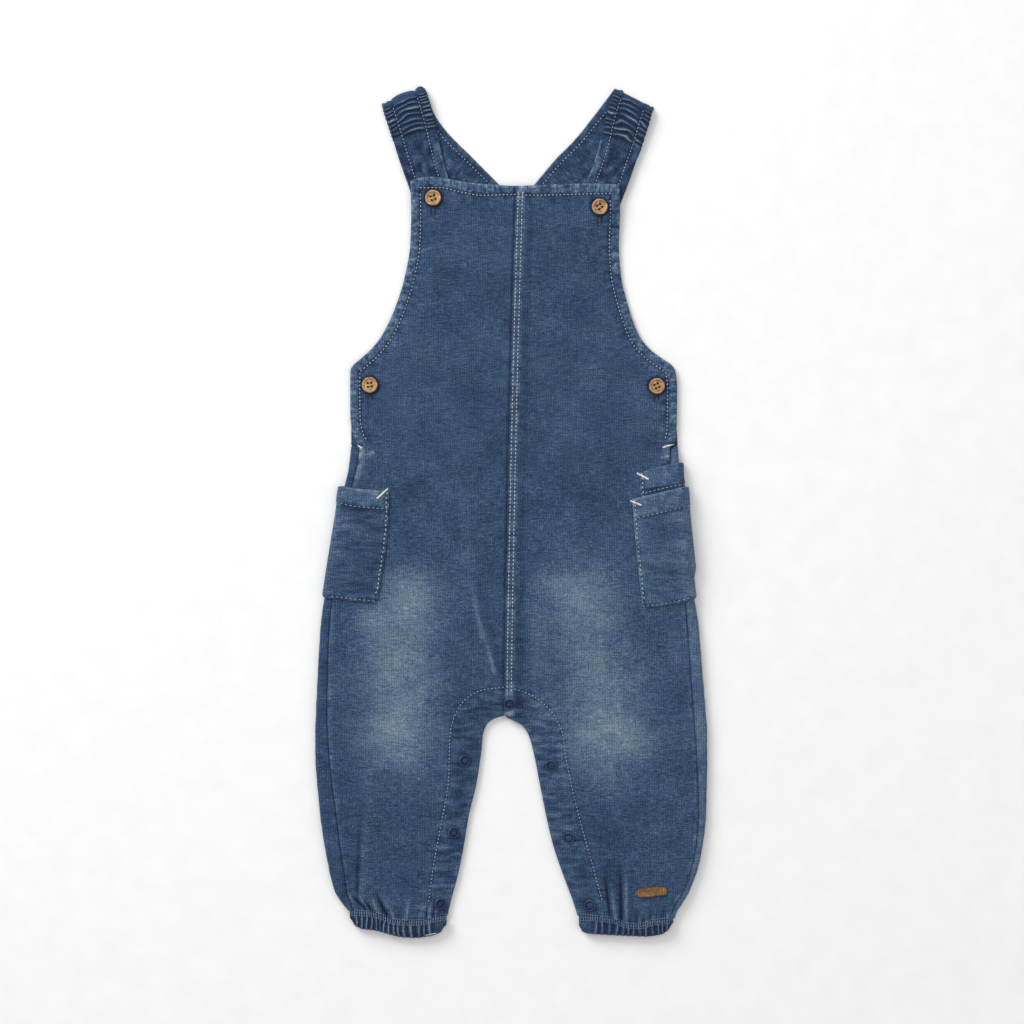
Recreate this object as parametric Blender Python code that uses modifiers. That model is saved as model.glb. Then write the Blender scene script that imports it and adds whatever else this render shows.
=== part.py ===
"""Baby dungarees in denim-look jersey, laid flat on their back with the front up.

The garment lies in the XY plane: +X to the viewer's right, +Y from the cuffs to the straps
and +Z up from the surface it rests on. Tables and sizes are in millimetres, and every point
is turned to metres once, where it becomes a vertex.
"""
import math
from collections import namedtuple

import bmesh
import bpy
from mathutils import Vector

MM = 0.001

# Cloth and clearances
CLOTH = 1.3              # jersey wall of the panels and pockets
STRAP_WALL = 1.6         # folded strap
CUFF_WALL = 2.0          # two plies round the elastic
GAP = 0.3                # space left between two pieces that touch
LAYER = CLOTH + GAP      # what one ply on a panel adds

# Widths over which the laid cloth changes height
SIDE_ROLL = 22.0         # from the outer edge to the flat of the panel
LEG_ROLL = 14.0          # from the leg opening to the flat of the panel
LEG_EDGE_TOP = 3.0       # front ply over back ply along the legs' inner edges
OPENING_TOP_Y = -95.0    # above this row the leg opening is too far to shape the cloth
FAR = 1000.0
PLEAT_EDGE = 7.0         # the pleats die out over this, towards the outer edge
THIN_TOP, THIN_FADE = 3.6, 1.6               # and where the cloth lies as thin as this
LIFT_FROM_Y, LIFT_TO_Y, LIFT_BLEND = -75.0, 50.0, 0.8    # rows that the pockets lift

# Felled centre-front seam: the right half laps over the left one
LAP = 6.2
LAP_SLOPE = 6.0
LAP_RISE = CLOTH + 0.55

# Garment rows where the straight cross sections start bending to the bib and cuff lines
BIB_BEND_Y = 180.0
BIB_ROW = 214.0
CUFF_BEND_Y = -215.0
CUFF_ROW = -262.0

# Side fold: the back panel turns round it to the side seam on the front
WRAP_START_Y = 47.0
WRAP_FULL_Y = 39.0
MIN_STRIP = 0.4          # back cloth that shows on the front, beside the seam
MAX_STRIP = 8.0
SEAM_GAP = 0.7
BACK_SHORT = 0.9         # the back stops this much above the cuff seam

Pair = namedtuple("Pair", "y left right")
Height = namedtuple("Height", "y left middle right")
Spot = namedtuple("Spot", "x y")
Pleat = namedtuple("Pleat", "low_x low_y top_x top_y depth width")
Station = namedtuple("Station", "inner_x inner_y outer_x outer_y")

# Outer edge of the front: armhole and side above y = 42, side seam below
FRONT_EDGE = (
    Pair(-262, -100.3, 99.6), Pair(-251, -103.2, 104.6), Pair(-242, -106.0, 109.8),
    Pair(-232, -107.3, 113.5), Pair(-213, -110.2, 117.6), Pair(-194, -112.7, 119.0),
    Pair(-160, -116.8, 118.0), Pair(-130, -118.4, 116.0), Pair(-95, -118.0, 113.4),
    Pair(-54, -115.2, 110.4), Pair(0, -105.8, 104.6), Pair(17, -102.4, 102.2),
    Pair(36, -98.4, 100.8), Pair(42, -98.2, 101.3), Pair(46, -100.8, 104.6),
    Pair(62, -103.8, 105.4), Pair(80, -103.9, 105.5), Pair(90.5, -103.8, 104.3),
    Pair(94, -102.1, 102.3), Pair(98, -97.6, 96.6), Pair(104, -90.9, 88.5),
    Pair(113, -83.7, 81.2), Pair(133, -74.4, 73.9), Pair(152, -68.7, 69.5),
    Pair(171, -65.5, 68.2), Pair(190, -64.9, 68.9), Pair(214, -65.4, 68.4),
)

# Outline of the back: the side fold below y = 46, its flat edge under the bib above
BACK_EDGE = (
    Pair(-262, -104.0, 103.2), Pair(-256, -104.9, 105.3), Pair(-251, -108.6, 108.6),
    Pair(-242, -114.1, 113.7), Pair(-223, -118.6, 120.1), Pair(-194, -123.1, 124.0),
    Pair(-150, -126.3, 124.8), Pair(-98, -124.4, 121.3), Pair(-70, -122.5, 118.9),
    Pair(-54, -120.3, 116.3), Pair(-20, -115.0, 112.4), Pair(0, -111.6, 110.3),
    Pair(17, -107.5, 108.6), Pair(27, -105.1, 107.0), Pair(46, -103.3, 105.7),
    Pair(62, -103.2, 104.6), Pair(88, -101.2, 102.0), Pair(94, -97.0, 97.0),
    Pair(104, -83.0, 81.0), Pair(123, -68.0, 67.0), Pair(152, -50.0, 50.0),
    Pair(172, -34.0, 34.0),
)

# Top of the front panel above the surface, at its edges and in the flat between them
FRONT_HEIGHT = (
    Height(-262, 5.2, 5.5, 5.2), Height(-242, 5.3, 5.7, 5.3), Height(-213, 5.6, 5.9, 5.6),
    Height(-70, 5.6, 6.0, 5.6), Height(-54, 5.7, 6.0, 6.1), Height(-20, 5.8, 6.0, 7.0),
    Height(8, 5.7, 6.0, 7.1), Height(17, 5.4, 5.8, 7.0), Height(27, 4.5, 5.6, 6.0),
    Height(36, 3.6, 5.4, 4.8), Height(42, 3.2, 5.4, 3.4), Height(46, 3.1, 5.4, 3.1),
    Height(95, 3.2, 5.4, 3.2), Height(142, 2.4, 5.9, 2.4), Height(161, 2.6, 7.1, 2.6),
    Height(178, 3.1, 7.1, 3.1), Height(188, 3.8, 6.4, 3.8), Height(204, 5.4, 5.6, 5.4),
    Height(214, 5.4, 5.4, 5.4),
)

# Middle of the centre-front seam
CENTRE_LINE = (Spot(-2.2, -128), Spot(-1.9, -101), Spot(1.3, 66), Spot(5.2, 207))

# Leg opening, from the cuffs up to the crotch; the lap ends inside it
LEG_OPENING = (
    Pair(-262, -42.2, 42.7), Pair(-251, -39.9, 39.4), Pair(-232, -34.8, 32.4),
    Pair(-213, -31.0, 26.0), Pair(-194, -27.8, 21.5), Pair(-175, -23.3, 17.7),
    Pair(-155, -20.1, 13.8), Pair(-142, -18.7, 10.0), Pair(-136, -16.4, 5.6),
    Pair(-133.6, -14.0, 1.0), Pair(-131.6, -10.0, -3.2), Pair(-130, -4.5, -5.1),
)
CROTCH_Y = -128.0

# Bib top and the seams where the legs meet the cuffs
BIB_TOP = (
    Spot(-65.4, 212.0), Spot(-60, 214.2), Spot(-52, 214.8), Spot(-43, 213.6),
    Spot(-24, 210.6), Spot(5, 208.9), Spot(29, 210.0), Spot(53, 210.4), Spot(68.4, 209.8),
)
CUFF_TOP = (
    Spot(-104, -255.4), Spot(-92, -256.0), Spot(-83, -258.2), Spot(-76, -261.0),
    Spot(-62, -261.8), Spot(-42, -258.4), Spot(42, -258.6), Spot(63, -260.0),
    Spot(76, -264.0), Spot(84, -263.7), Spot(90, -261.6), Spot(104, -260.5),
)
CUFF_HEM = (
    Spot(-104.4, -260.4), Spot(-100.7, -264.6), Spot(-96, -266.8), Spot(-89, -267.6),
    Spot(-81, -269.6), Spot(-72, -271.9), Spot(-63, -272.5), Spot(-54, -271.6),
    Spot(-46.6, -269.3), Spot(-42.0, -264.2), Spot(42.5, -264.9), Spot(44.8, -268.4),
    Spot(49, -269.8), Spot(69, -271.0), Spot(85, -271.6), Spot(95, -270.4),
    Spot(100.5, -266.8), Spot(103.4, -262.6),
)

# Pleats of the front that the cuffs draw in, as troughs running up from the cuff seam
PLEATS = (
    Pleat(-97.0, -255, -105.5, -243, 1.3, 2.8), Pleat(-89.5, -257, -98.5, -243, 1.4, 3.0),
    Pleat(-79.5, -260, -89.5, -241, 1.3, 3.0), Pleat(-66.0, -262, -63.0, -246, 0.8, 3.2),
    Pleat(-56.5, -261, -54.0, -247, 0.9, 3.0), Pleat(-48.5, -260, -47.5, -248, 0.6, 2.6),
    Pleat(54.5, -260, 53.0, -250, 0.7, 2.8), Pleat(62.5, -261, 59.0, -228, 1.2, 3.4),
    Pleat(70.5, -263, 67.5, -226, 1.4, 3.4), Pleat(79.0, -264, 80.5, -250, 0.7, 3.0),
    Pleat(88.5, -262, 88.0, -248, 0.9, 3.0), Pleat(96.0, -261, 97.5, -250, 0.8, 2.6),
    Pleat(-17.0, -96, -24.0, -58, 0.9, 4.5), Pleat(14.0, -118, 34.0, -104, 0.7, 4.5),
    Pleat(-20.0, -118, -38.0, -106, 0.6, 4.5), Pleat(-92.0, 30, -82.0, 8, 0.6, 5.0),
)

# Straps from their sewn end on the back, over the shoulder fold, to the end under the bib
BACK_STRAP_LEFT = (
    Station(37.0, 164.0, 20.0, 146.4), Station(26.0, 174.8, 9.0, 157.4),
    Station(9.0, 192.0, -8.4, 174.6), Station(-8.6, 210.0, -26.2, 192.8),
    Station(-26.0, 227.6, -44.0, 210.0), Station(-43.0, 244.9, -62.0, 228.5),
    Station(-50.4, 256.0, -73.5, 243.5), Station(-56.2, 271.8, -83.9, 260.9),
)
FRONT_STRAP_LEFT = (
    Station(-56.2, 271.8, -83.9, 260.9), Station(-52.2, 259.5, -79.8, 248.6),
    Station(-48.8, 246.5, -76.5, 238.5), Station(-46.6, 235.5, -73.1, 227.5),
    Station(-43.5, 222.5, -69.0, 215.5), Station(-40.5, 211.5, -65.5, 205.5),
    Station(-38.0, 190.0, -61.5, 185.0),
)
BACK_STRAP_RIGHT = (
    Station(-25.0, 163.0, -6.5, 147.4), Station(-14.2, 176.0, 4.3, 160.6),
    Station(0.0, 193.0, 18.5, 177.6), Station(14.2, 210.0, 32.7, 194.6),
    Station(27.7, 226.2, 46.7, 210.4), Station(40.1, 238.8, 59.5, 222.6),
    Station(51.8, 253.3, 73.5, 238.5), Station(65.6, 271.6, 90.7, 258.6),
)
FRONT_STRAP_RIGHT = (
    Station(65.6, 271.6, 90.7, 258.6), Station(60.6, 258.5, 87.2, 246.5),
    Station(57.2, 243.0, 82.9, 233.5), Station(54.8, 232.5, 79.2, 224.5),
    Station(51.0, 220.5, 75.0, 212.5), Station(46.9, 210.3, 71.0, 202.0),
    Station(41.0, 191.0, 64.0, 184.0),
)
FOLD_RADIUS = 2.1        # outside of the shoulder fold
BIB_CLIMB_Y, BIB_CLIMB, BIB_CLIMB_RUN = 188.0, 1.9, 18.0    # the straps rise over the bib's top
GATHER_CLIMB_Y, GATHER_CLIMB, GATHER_CLIMB_RUN = 235.0, 0.7, 20.0    # and towards their fold
STRAP_GATHERS = 6
STRAP_RELIEF = 0.9
CHANNELS = (0.0, 0.11, 0.22, 0.5, 0.78, 0.89, 1.0)   # across a strap; seams at 0.22 and 0.78

CUFF_GATHERS = 13        # across the front of each cuff, and as many behind
CUFF_RELIEF = 0.8
CUFF_HEIGHT = 5.4
CUFF_OUTER = {"left": -104.3, "right": 103.2}
PLACKET = 9.0            # smooth inner end of each cuff

# Pockets: mouth and foot lines, inner edge on the front, and how far they reach underneath
Pocket = namedtuple("Pocket", "side mouth foot inner under gape beneath")
POCKET_LEFT = Pocket(
    "left", (Spot(-112, 17.6), Spot(-100, 15.2), Spot(-79, 13.4)),
    (Spot(-122, -54.6), Spot(-100, -57.0), Spot(-86, -58.6)),
    (Spot(-86.6, -58), Spot(-83.8, -42), Spot(-79.3, -6), Spot(-78.8, 14)), 22.0, 2.0, 0)
POCKET_RIGHT_UPPER = Pocket(
    "right", (Spot(81, 25.6), Spot(96, 29.6), Spot(109, 32.2)),
    (Spot(81, -24.0), Spot(113, -28.0)),
    (Spot(83.5, -26), Spot(81.4, 26)), 19.0, 1.0, 0)
POCKET_RIGHT = Pocket(
    "right", (Spot(77, 8.6), Spot(96, 13.0), Spot(112, 17.0)),
    (Spot(83, -61.6), Spot(99, -59.6), Spot(118, -55.2)),
    (Spot(83.2, -61), Spot(78.8, -20), Spot(76.6, 9)), 23.0, 0.4, 1)

POCKET_MARGIN = 4.0      # the cloth stays lifted this far past a pocket's edge

POCKET_STEP = 1.9        # rise of the back over one pocket ply
UPPER_STEP = 1.72        # rise of the upper pocket over the main one
PLY_ROOM = 1.0           # air between front and back where the pockets push the back up
BUTTON_RADIUS = 5.2
BUTTON_THICK = 2.3
BUTTONS = (
    ("button_bib_left", Spot(-50.7, 201.1)), ("button_bib_right", Spot(55.7, 195.5)),
    ("button_side_left", Spot(-91.1, 81.4)), ("button_side_right", Spot(92.2, 80.8)),
)
SNAP_RADIUS = 3.75
SNAP_THICK = 0.9
SNAPS = (
    ("snap_crotch", Spot(-1.6, -122.6)),
    ("snap_left_upper", Spot(-30.7, -159.0)), ("snap_left_middle", Spot(-37.7, -205.0)),
    ("snap_left_lower", Spot(-46.2, -250.6)), ("snap_right_upper", Spot(25.0, -162.3)),
    ("snap_right_middle", Spot(36.1, -208.4)), ("snap_right_lower", Spot(49.6, -251.8)),
)
TAG_LENGTH = 20.5
TAG_WIDTH = 6.2
TAG_THICK = 1.0
TAG_PLACE = Spot(88.7, -243.1)
TAG_TURN = math.radians(5.5)

FRONT_ROWS = (
    -262, -257, -252, -246, -238, -228, -215, -198, -180, -162, -146, -138, -133.5, -130.5,
    -127, -119, -104, -82, -60, -40, -20, 0, 15, 25, 34, 41, 45, 52, 66, 82, 91, 95, 99.5,
    105, 112, 120, 130, 141, 152, 163, 175, 186, 196, 205, 214,
)
BACK_ROWS = (
    -262, -252, -244, -232, -215, -190, -160, -140, -133, -128, -122, -104, -84, -74, -65,
    -57, -40, -32, -12, 6, 17, 21, 29, 36, 40, 43, 47, 56, 72, 88, 94, 99, 107, 118, 132, 146,
    160, 172,
)
FRONT_COLUMNS = (
    0.0, 0.03, 0.07, 0.12, 0.19, 0.27, 0.35, 0.43, 0.51, 0.59, 0.67, 0.75, 0.83, 0.9, 0.96, 1.0)
PATCH_COLUMNS = (0.0, 0.14, 0.3, 0.53, 0.77, 1.0)
BEND_STEPS = 5
FLAT_STEPS = (0.0, 12.0, 24.0, 37.0)   # from the fold's foot inwards, then halves of the rest
FLAT_REACH = 60.0        # the steps are drawn in where less room than this is left

# The tables are measured from the drawing's middle; this moves the outline's middle onto the origin
OUTLINE_SHIFT = Vector((0.72, 0.40, 0.0))

DENIM_FRONT = (0.085, 0.145, 0.265)
DENIM_BACK = (0.055, 0.098, 0.195)
DENIM_LIGHT = (0.105, 0.170, 0.290)
WOOD = (0.420, 0.215, 0.075)
DARK_METAL = (0.030, 0.045, 0.080)
LEATHER = (0.360, 0.165, 0.050)


# ---------------------------------------------------------------- small mathematics

def ease(t):
    """0 below 0, 1 above 1 and a smooth rise between."""
    t = min(max(t, 0.0), 1.0)
    return t * t * (3.0 - 2.0 * t)


def blended_max(a, b, width):
    """The greater of two values, rounded where they cross."""
    near = max(width - abs(a - b), 0.0) / width
    return max(a, b) + near * near * width / 4


def through(xs, ys, x):
    """Smooth value at x through the points, which never swings past its neighbours."""
    if x <= xs[0]:
        return ys[0]
    if x >= xs[-1]:
        return ys[-1]
    steps = [b - a for a, b in zip(xs, xs[1:])]
    rates = [(b - a) / h for a, b, h in zip(ys, ys[1:], steps)]
    k = next(i for i, h in enumerate(steps) if x <= xs[i + 1])

    def slope(i):
        if i == 0:
            return rates[0]
        if i == len(rates):
            return rates[-1]
        before, after = rates[i - 1], rates[i]
        if before * after <= 0.0:
            return 0.0
        return 2.0 * before * after / (before + after)

    h = steps[k]
    t = (x - xs[k]) / h
    low, high = slope(k) * h, slope(k + 1) * h
    a = 2 * t ** 3 - 3 * t ** 2 + 1
    b = t ** 3 - 2 * t ** 2 + t
    c = -2 * t ** 3 + 3 * t ** 2
    d = t ** 3 - t ** 2
    return a * ys[k] + b * low + c * ys[k + 1] + d * high


def column(table, name, y):
    """Value of a table's named column at height y."""
    return through([row.y for row in table], [getattr(row, name) for row in table], y)


def line_y(spots, x):
    """Height of a line given by spots at x."""
    return through([s.x for s in spots], [s.y for s in spots], x)


def line_x(spots, y):
    """Place across of a line given by spots at height y."""
    return through([s.y for s in spots], [s.x for s in spots], y)


def sign_of(side):
    return -1.0 if side == "left" else 1.0


# ---------------------------------------------------------------- the laid garment

def row_y(nominal, x):
    """Actual height at x of a cross section, which bends to the bib top and cuff seam."""
    if nominal > BIB_BEND_Y:
        share = (nominal - BIB_BEND_Y) / (BIB_ROW - BIB_BEND_Y)
        return BIB_BEND_Y + share * (line_y(BIB_TOP, x) - BIB_BEND_Y)
    if nominal < CUFF_BEND_Y:
        share = (nominal - CUFF_BEND_Y) / (CUFF_ROW - CUFF_BEND_Y)
        return CUFF_BEND_Y + share * (line_y(CUFF_TOP, x) + GAP / 2 - CUFF_BEND_Y)
    return nominal


def back_row_y(nominal, x):
    """The same for the back, which ends a little above the cuff seam and has a level top."""
    if nominal > BIB_BEND_Y:
        return nominal
    short = max(0.0, (nominal - CUFF_BEND_Y) / (CUFF_ROW - CUFF_BEND_Y))
    return row_y(nominal, x) + BACK_SHORT * short


def front_edge(side, y):
    return column(FRONT_EDGE, side, y)


def back_edge(side, y):
    return column(BACK_EDGE, side, y)


def centre_x(y):
    return line_x(CENTRE_LINE, y)


def front_inner(side, y):
    """Inner edge of a front half: the lap above the crotch, the leg opening below."""
    lap = -sign_of(side) * LAP / 2
    opening = column(LEG_OPENING, side, y)
    top = centre_x(y) + lap
    return opening + (top - opening) * ease((y + 130.5) / 3.0)


def back_inner(side, y):
    """Inner edge of a back half: the centre-back seam, then just inside the leg opening."""
    outward = sign_of(side)
    opening = column(LEG_OPENING, side, y) + outward * 0.8
    seam = centre_x(y) + outward * GAP / 2
    inner = opening + (seam - opening) * ease((y - CROTCH_Y) / 5.0)
    return max(inner, seam) if side == "right" else min(inner, seam)


def opening_distance(x, y):
    """Distance from the leg opening's edge, large away from it."""
    if y > OPENING_TOP_Y:
        return FAR
    nearest = FAR
    for side in ("left", "right"):
        points = [(getattr(row, side), row.y) for row in LEG_OPENING]
        for (ax, ay), (bx, by) in zip(points, points[1:]):
            along_x, along_y = bx - ax, by - ay
            length = along_x ** 2 + along_y ** 2
            t = min(max(((x - ax) * along_x + (y - ay) * along_y) / length, 0.0), 1.0)
            nearest = min(nearest, math.hypot(x - ax - t * along_x, y - ay - t * along_y))
    return nearest


def pleat_depth(x, y):
    """Depth of the pleats at a point of the front."""
    total = 0.0
    for pleat in PLEATS:
        run_x, run_y = pleat.top_x - pleat.low_x, pleat.top_y - pleat.low_y
        length = math.hypot(run_x, run_y)
        along = ((x - pleat.low_x) * run_x + (y - pleat.low_y) * run_y) / length
        aside = ((x - pleat.low_x) * run_y - (y - pleat.low_y) * run_x) / length
        fade = ease((along + 5.0) / 5.0) * ease((length - along) / (0.7 * length))
        total += pleat.depth * fade * math.exp(-(aside / pleat.width) ** 2)
    return total


def front_top(x, y):
    """Outer face of the front cloth, without the extra ply of the centre seam."""
    side = "left" if x < centre_x(max(y, CROTCH_Y)) else "right"
    middle = column(FRONT_HEIGHT, "middle", y)
    edge = column(FRONT_HEIGHT, side, y)
    reach = abs(front_edge(side, y) - x)
    top = middle - (middle - edge) * (1.0 - ease(reach / SIDE_ROLL))
    top -= (middle - LEG_EDGE_TOP) * (1.0 - ease(opening_distance(x, y) / LEG_ROLL))
    top = max(top, min(LEG_EDGE_TOP, edge))
    soft = ease(reach / PLEAT_EDGE) * ease((top - THIN_TOP) / THIN_FADE)
    if LIFT_FROM_Y < y < LIFT_TO_Y:
        top = blended_max(top, lift(side, x, y) + 2 * CLOTH + PLY_ROOM, LIFT_BLEND)
    return top - pleat_depth(x, y) * soft


def lap_lift(x, y):
    """Rise of the right half where it laps over the left one."""
    across = 1.0 - ease((x - centre_x(y) - LAP / 2 - 0.4) / LAP_SLOPE)
    return LAP_RISE * across * ease((y + 143.0) / 9.0)


def front_face(x, y):
    """Top of the front as it shows, with the seam's lap."""
    if x < centre_x(y) - LAP / 2:
        return front_top(x, y)
    return front_top(x, y) + lap_lift(x, y)


def inside(distance, solid, fade):
    """1 up to the solid width, falling to 0 over the fade after it."""
    return 1.0 - ease((distance - solid) / fade)


def pocket_cover(pocket, x, y):
    """1 where a pocket lies under the garment, easing to 0 round it."""
    fold = back_edge(pocket.side, y)
    over = inside(y - line_y(pocket.mouth, fold), POCKET_MARGIN, 8.0)
    below = inside(line_y(pocket.foot, fold) - y, POCKET_MARGIN, 9.0)
    return inside(abs(fold - x), pocket.under + 5.5, 11.0) * over * below


def lift(side, x, y):
    """Rise of the back panel's underside over the pockets that wrap below it."""
    if side == "left":
        return POCKET_STEP * pocket_cover(POCKET_LEFT, x, y)
    both = pocket_cover(POCKET_RIGHT, x, y) + pocket_cover(POCKET_RIGHT_UPPER, x, y)
    return POCKET_STEP * both


def upper_pocket_share(x, y):
    """1 where the upper right pocket lies under the main one."""
    if x < 40.0:
        return 0.0
    inner = line_x(POCKET_RIGHT_UPPER.inner, y)
    below = inside(line_y(POCKET_RIGHT_UPPER.foot, x) - y, POCKET_MARGIN + 2.0, 9.0)
    return ease((x - inner + 5.0) / 3.6) * below


def fold_shape(side, y):
    """Foot, radius and base height of the side fold at height y."""
    edge = back_edge(side, y)
    base = lift(side, edge, y)
    radius = (column(FRONT_HEIGHT, side, y) - base) / 2
    return edge, radius, base


# ---------------------------------------------------------------- making the cloth

def grid_of(columns, rows):
    """A flat grid whose vertices carry their column and row number in x and y."""
    bm = bmesh.new()
    bmesh.ops.create_grid(bm, x_segments=columns, y_segments=rows, size=0.5)
    for vert in bm.verts:
        vert.co.x = round((vert.co.x + 0.5) * columns)
        vert.co.y = round((vert.co.y + 0.5) * rows)
    return bm


def collection_named(name):
    collection = bpy.data.collections.new(name)
    bpy.context.scene.collection.children.link(collection)
    return collection


def material_of(name, colour, roughness, metallic=0.0):
    material = bpy.data.materials.new(name)
    material.use_nodes = True
    shader = material.node_tree.nodes["Principled BSDF"]
    shader.inputs["Base Color"].default_value = (*colour, 1.0)
    shader.inputs["Roughness"].default_value = roughness
    shader.inputs["Metallic"].default_value = metallic
    return material


def finish(name, bm, material, parts):
    """Makes an object of the mesh, smooth but for its cut edges."""
    mesh = bpy.data.meshes.new(name)
    bm.to_mesh(mesh)
    bm.free()
    mesh.shade_smooth()
    mesh.set_sharp_from_angle(angle=math.radians(50))
    mesh.materials.append(material)
    thing = bpy.data.objects.new(name, mesh)
    parts.objects.link(thing)
    return thing


def cloth(name, size, place, wall, material, parts, turned_over=False):
    """An open sheet on its outer face with a Solidify wall behind it."""
    bm = grid_of(*size)
    for vert in bm.verts:
        vert.co = Vector(place(int(vert.co.x), int(vert.co.y))) * MM
    if turned_over:
        bmesh.ops.reverse_faces(bm, faces=bm.faces)
    sheet = finish(name, bm, material, parts)
    shell = sheet.modifiers.new("Wall", "SOLIDIFY")
    shell.thickness = wall * MM
    shell.offset = -1.0
    shell.use_even_offset = True
    return sheet


def gathered(name, size, place, relief, wall, material, parts, turned_over=False):
    """A wall whose outer face is raised in gathers over a plain inside."""
    bm = grid_of(*size)
    raised = {}
    for vert in bm.verts:
        step = (int(vert.co.x), int(vert.co.y))
        raised[vert] = relief(*step) * MM
        vert.co = Vector(place(*step)) * MM
    if turned_over:
        bmesh.ops.reverse_faces(bm, faces=bm.faces)
    bm.normal_update()
    outward = {vert: vert.normal.copy() for vert in bm.verts}
    inner = {}
    sheet_faces = list(bm.faces)
    rim = [edge for edge in bm.edges if edge.is_boundary]
    for vert in list(outward):
        inner[vert] = bm.verts.new(vert.co - outward[vert] * wall * MM)
    for face in sheet_faces:
        bm.faces.new([inner[vert] for vert in reversed(face.verts)])
    for edge in rim:
        first, second = edge.link_loops[0].vert, edge.link_loops[0].link_loop_next.vert
        bm.faces.new((second, first, inner[first], inner[second]))
    for vert, height in raised.items():
        vert.co += outward[vert] * height
    return finish(name, bm, material, parts)


def front_half(side, material, parts):
    rows = FRONT_ROWS
    outward = sign_of(side)

    def place(step_across, step_up):
        nominal = rows[step_up]
        share = FRONT_COLUMNS[step_across]
        inner_y = row_y(nominal, front_inner(side, nominal))
        outer_y = row_y(nominal, front_edge(side, nominal))
        inner_x = front_inner(side, inner_y)
        outer_x = front_edge(side, outer_y)
        x = inner_x + (outer_x - inner_x) * share
        y = row_y(nominal, x)
        top = front_top(x, y)
        if side == "right":
            top += lap_lift(x, y)
        return x, y, top

    size = (len(FRONT_COLUMNS) - 1, len(rows) - 1)
    return cloth("front_" + side, size, place, CLOTH, material, parts, outward < 0)


def back_half(side, material, parts):
    rows = BACK_ROWS
    outward = sign_of(side)
    bend_columns = BEND_STEPS + 1
    columns = len(FLAT_STEPS) + 2 + bend_columns

    def profile(distance, edge, radius, base, y, end):
        """Point at a length along the cloth past the fold's foot, negative inwards."""
        swing = min(end / radius, math.pi / 2) if end > 0 else 0.0
        foot = edge - outward * radius * math.sin(swing)
        if distance <= 0.0:
            x = foot + outward * distance
            return x, y, lift(side, x, y)
        if distance <= math.pi * radius:
            angle = distance / radius
            return foot + outward * radius * math.sin(angle), y, base + radius * (1 - math.cos(angle))
        run = distance - math.pi * radius
        return foot - outward * run, y, base + 2 * radius

    def place(step_across, step_up):
        nominal = rows[step_up]
        y = back_row_y(nominal, back_edge(side, nominal))
        edge, radius, base = fold_shape(side, y)
        wrapped = ease((WRAP_START_Y - y) / (WRAP_START_Y - WRAP_FULL_Y))
        strip = abs(edge - outward * radius - front_edge(side, y)) - SEAM_GAP
        full = math.pi * radius + min(max(strip, MIN_STRIP), MAX_STRIP)
        end = full * wrapped
        strip_at = len(FLAT_STEPS) + 1
        if step_across >= strip_at:
            k = step_across - strip_at
            turns = (math.pi * radius * (i + 1) / BEND_STEPS for i in range(BEND_STEPS))
            nominal_at = (0.0, *turns, full)
            distance = end - (full - nominal_at[k])
            return profile(distance, edge, radius, base, y, end)
        foot_x = profile(end - full, edge, radius, base, y, end)[0]
        inner = back_inner(side, back_row_y(nominal, back_inner(side, nominal)))
        room = abs(foot_x - inner)
        scale = min(1.0, room / FLAT_REACH)
        stops = [step * scale for step in FLAT_STEPS]
        stops.append((stops[-1] + room) / 2)
        stops.append(room)
        x = foot_x - outward * stops[::-1][step_across]
        across_y = back_row_y(nominal, x)
        return x, across_y, lift(side, x, across_y)

    size = (columns - 1, len(rows) - 1)
    return cloth("back_" + side, size, place, CLOTH, material, parts, outward > 0)


def cuff(side, material, parts):
    """Elastic casing: front ply, round the outer fold, and back under to the inseam."""
    outward = sign_of(side)
    inner_x = column(LEG_OPENING, side, CUFF_ROW)
    outer_x = CUFF_OUTER[side]
    base = CUFF_RELIEF
    radius = (CUFF_HEIGHT - base) / 2
    foot = outer_x - outward * (radius + CUFF_RELIEF * 0.5)
    front_steps = CUFF_GATHERS * 4
    bend_steps = 4
    under_steps = CUFF_GATHERS * 2
    columns = front_steps + bend_steps + under_steps
    rows = 2

    def across(step):
        """Place and height of a column, and how far it is along the gathers."""
        if step <= front_steps:
            share = step / front_steps
            return inner_x + (foot - inner_x) * share, base + 2 * radius
        if step <= front_steps + bend_steps:
            angle = math.pi * (step - front_steps) / bend_steps
            x = foot + outward * radius * math.sin(angle)
            return x, base + radius * (1 + math.cos(angle))
        share = (step - front_steps - bend_steps) / under_steps
        return foot + (inner_x - foot) * share, base

    def place(step, row):
        x, height = across(step)
        top = line_y(CUFF_TOP, x) - GAP
        hem = line_y(CUFF_HEM, x)
        return x, top + (hem - top) * row / rows, height

    def relief(step, row):
        x, height = across(step)
        smooth = ease((abs(x - inner_x) - PLACKET + 4.0) / 4.0)
        run = step / 4 if step <= front_steps else (step - front_steps - bend_steps) / 2
        turn = front_steps < step < front_steps + bend_steps
        wave = 0.5 if turn else 0.5 - 0.5 * math.cos(2 * math.pi * run)
        strength = (0.45, 1.0, 0.4)[row]
        return CUFF_RELIEF * (wave * smooth * strength)

    return gathered("cuff_" + side, (columns, rows), place, relief, CUFF_WALL,
                    material, parts, outward > 0)


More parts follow.
